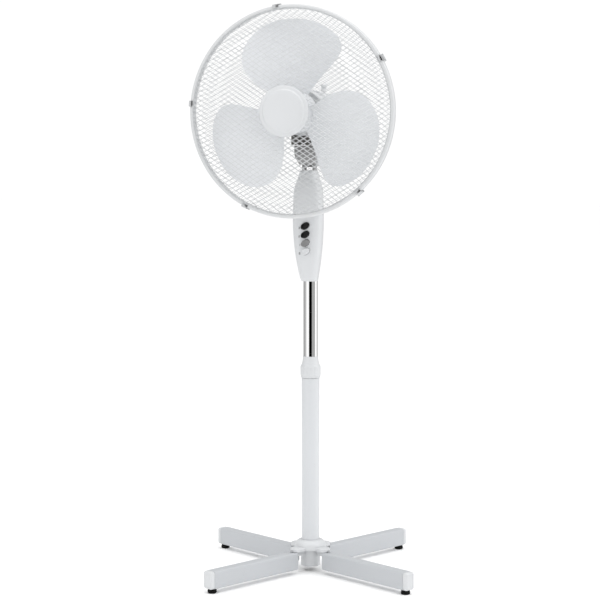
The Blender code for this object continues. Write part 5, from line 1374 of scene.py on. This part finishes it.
blade_parts = [turned("blade_hub", [
    (0.0043, hub_front), (0.0350, hub_front), (0.0380, hub_front - 0.0005), (0.0400, hub_front - 0.0020),
                                    (0.0410, hub_front - 0.0045),
    (0.0410, hub_back + 0.0042), (0.0391, hub_back + 0.0042), (0.0391, hub_front - 0.0060),
                                    (0.0370, hub_front - 0.0028),
    (0.0158, hub_front - 0.0028), (0.0158, hub_back), (0.0043, hub_back)], head_place(), 96, closed=True)]
for index in range(3):
    blade_parts.append(vane(math.radians(92.5 + 120.0 * index)))
for index in range(6):
    place = head_place() @ disc_turn(math.tau * index / 6 + 0.5)
    rib = rounded_block("rib", rounded_rectangle(0.0240, 0.0014, 0.0003, 1), hub_back + 0.006,
                        hub_front - 0.0026, 0.0002, place @ Matrix.Translation((0.0275, 0.0, 0.0)))
    blade_parts.append(rib)
blade = gathered("three_vane_blade", blade_parts)
dressed(blade, blade_white, "rotor", ["fan_blade"])


# ---- blade nut ----
# White moulded spinner with a left-hand thread and finger ribs, which holds the blade against the cross pin.
spinner_low, spinner_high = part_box("blade_nut")
spin_back, spin_front = -spinner_high.y, -spinner_low.y


def spinner_ribs(angle, index):
    return -0.0006 * (0.5 - 0.5 * math.cos(18 * angle)) if 3 <= index <= 5 else 0.0


spinner = turned("blade_spinner", [
    (0.0043, spin_front - 0.004), (0.0043, spin_back), (0.0150, spin_back), (0.0158, spin_back + 0.0008),
                                   (0.0158, spin_back + 0.0050),
    (0.0156, spin_back + 0.0088), (0.0150, spin_front - 0.0040), (0.0132, spin_front - 0.0018),
                                   (0.0088, spin_front - 0.0004),
    (0.0030, spin_front), (0.0002, spin_front)], head_place(), 108, swell=spinner_ribs)
dressed(spinner, white_moulding, "rotor", ["blade_nut"])


# ---- centre cap ----
# White moulded disc glued over the front guard's plate: a faintly domed face, a stepped bevel and a flange.
cap_front = -cap_low.y
cap_back = -cap_high.y
centre_cap = turned("centre_disc", [
    (0.0002, cap_front), (0.0150, cap_front - 0.00008), (0.0300, cap_front - 0.00025),
                                    (0.0400, cap_front - 0.00050), (0.0411, cap_front - 0.0008),
    (0.0420, cap_front - 0.0016), (0.0428, cap_front - 0.0024), (0.0440, cap_front - 0.0028),
                                    (0.0462, cap_front - 0.0031), (0.0485, cap_front - 0.0035),
    (0.0495, cap_front - 0.0040), (0.0500, cap_front - 0.0048), (0.0500, cap_back + 0.0002),
                                    (0.0496, cap_back), (0.0002, cap_back)],
    head_place(), 144, sharp=50.0)
dressed(centre_cap, white_moulding, "head", ["centre_cap"])


# ---- guard clips ----
# Five sprung steel clips, zinc-plated: each turns in two lugs on the rear rim and snaps over the front
# one.
clip_width = 0.0118
for index, angle in enumerate(clip_angles):
    outer = guard_radius + 0.0006
    low_level, high_level = rim_plane - 0.0075, rim_plane + 0.0103
    strip = [(outer + 0.0002, low_level - 0.0012), (outer + 0.0016, low_level - 0.0019),
             (outer + 0.0032, low_level - 0.0008), (outer + 0.0037, low_level + 0.0008),
             (outer + 0.0028, low_level + 0.0028), (outer + 0.0016, low_level + 0.0046),
             (outer + 0.0015, high_level - 0.0010),
             (outer + 0.0006, high_level + 0.0009), (outer - 0.0014, high_level + 0.0014),
             (guard_radius - 0.0052, high_level + 0.0013),
             (guard_radius - 0.0060, high_level + 0.0006), (guard_radius - 0.0058, high_level + 0.0001),
             (outer - 0.0016, high_level + 0.0002),
             (outer - 0.0002, high_level - 0.0002), (outer, high_level - 0.0016)]
    radial = Vector((math.cos(angle), 0.0, math.sin(angle)))
    ahead = Vector((0.0, -1.0, 0.0))
    across = radial.cross(ahead)
    place = Matrix((radial, ahead, across)).transposed().to_4x4()
    place.translation = Vector((0.0, 0.0, head_z))
    clip = rounded_block(f"snap_clip_{index + 1}", strip, -clip_width / 2, clip_width / 2, 0.0002, place, 2)
    dressed(clip, zinc_plate, f"clip_{index + 1}", [f"guard_clip_{index + 1}"])
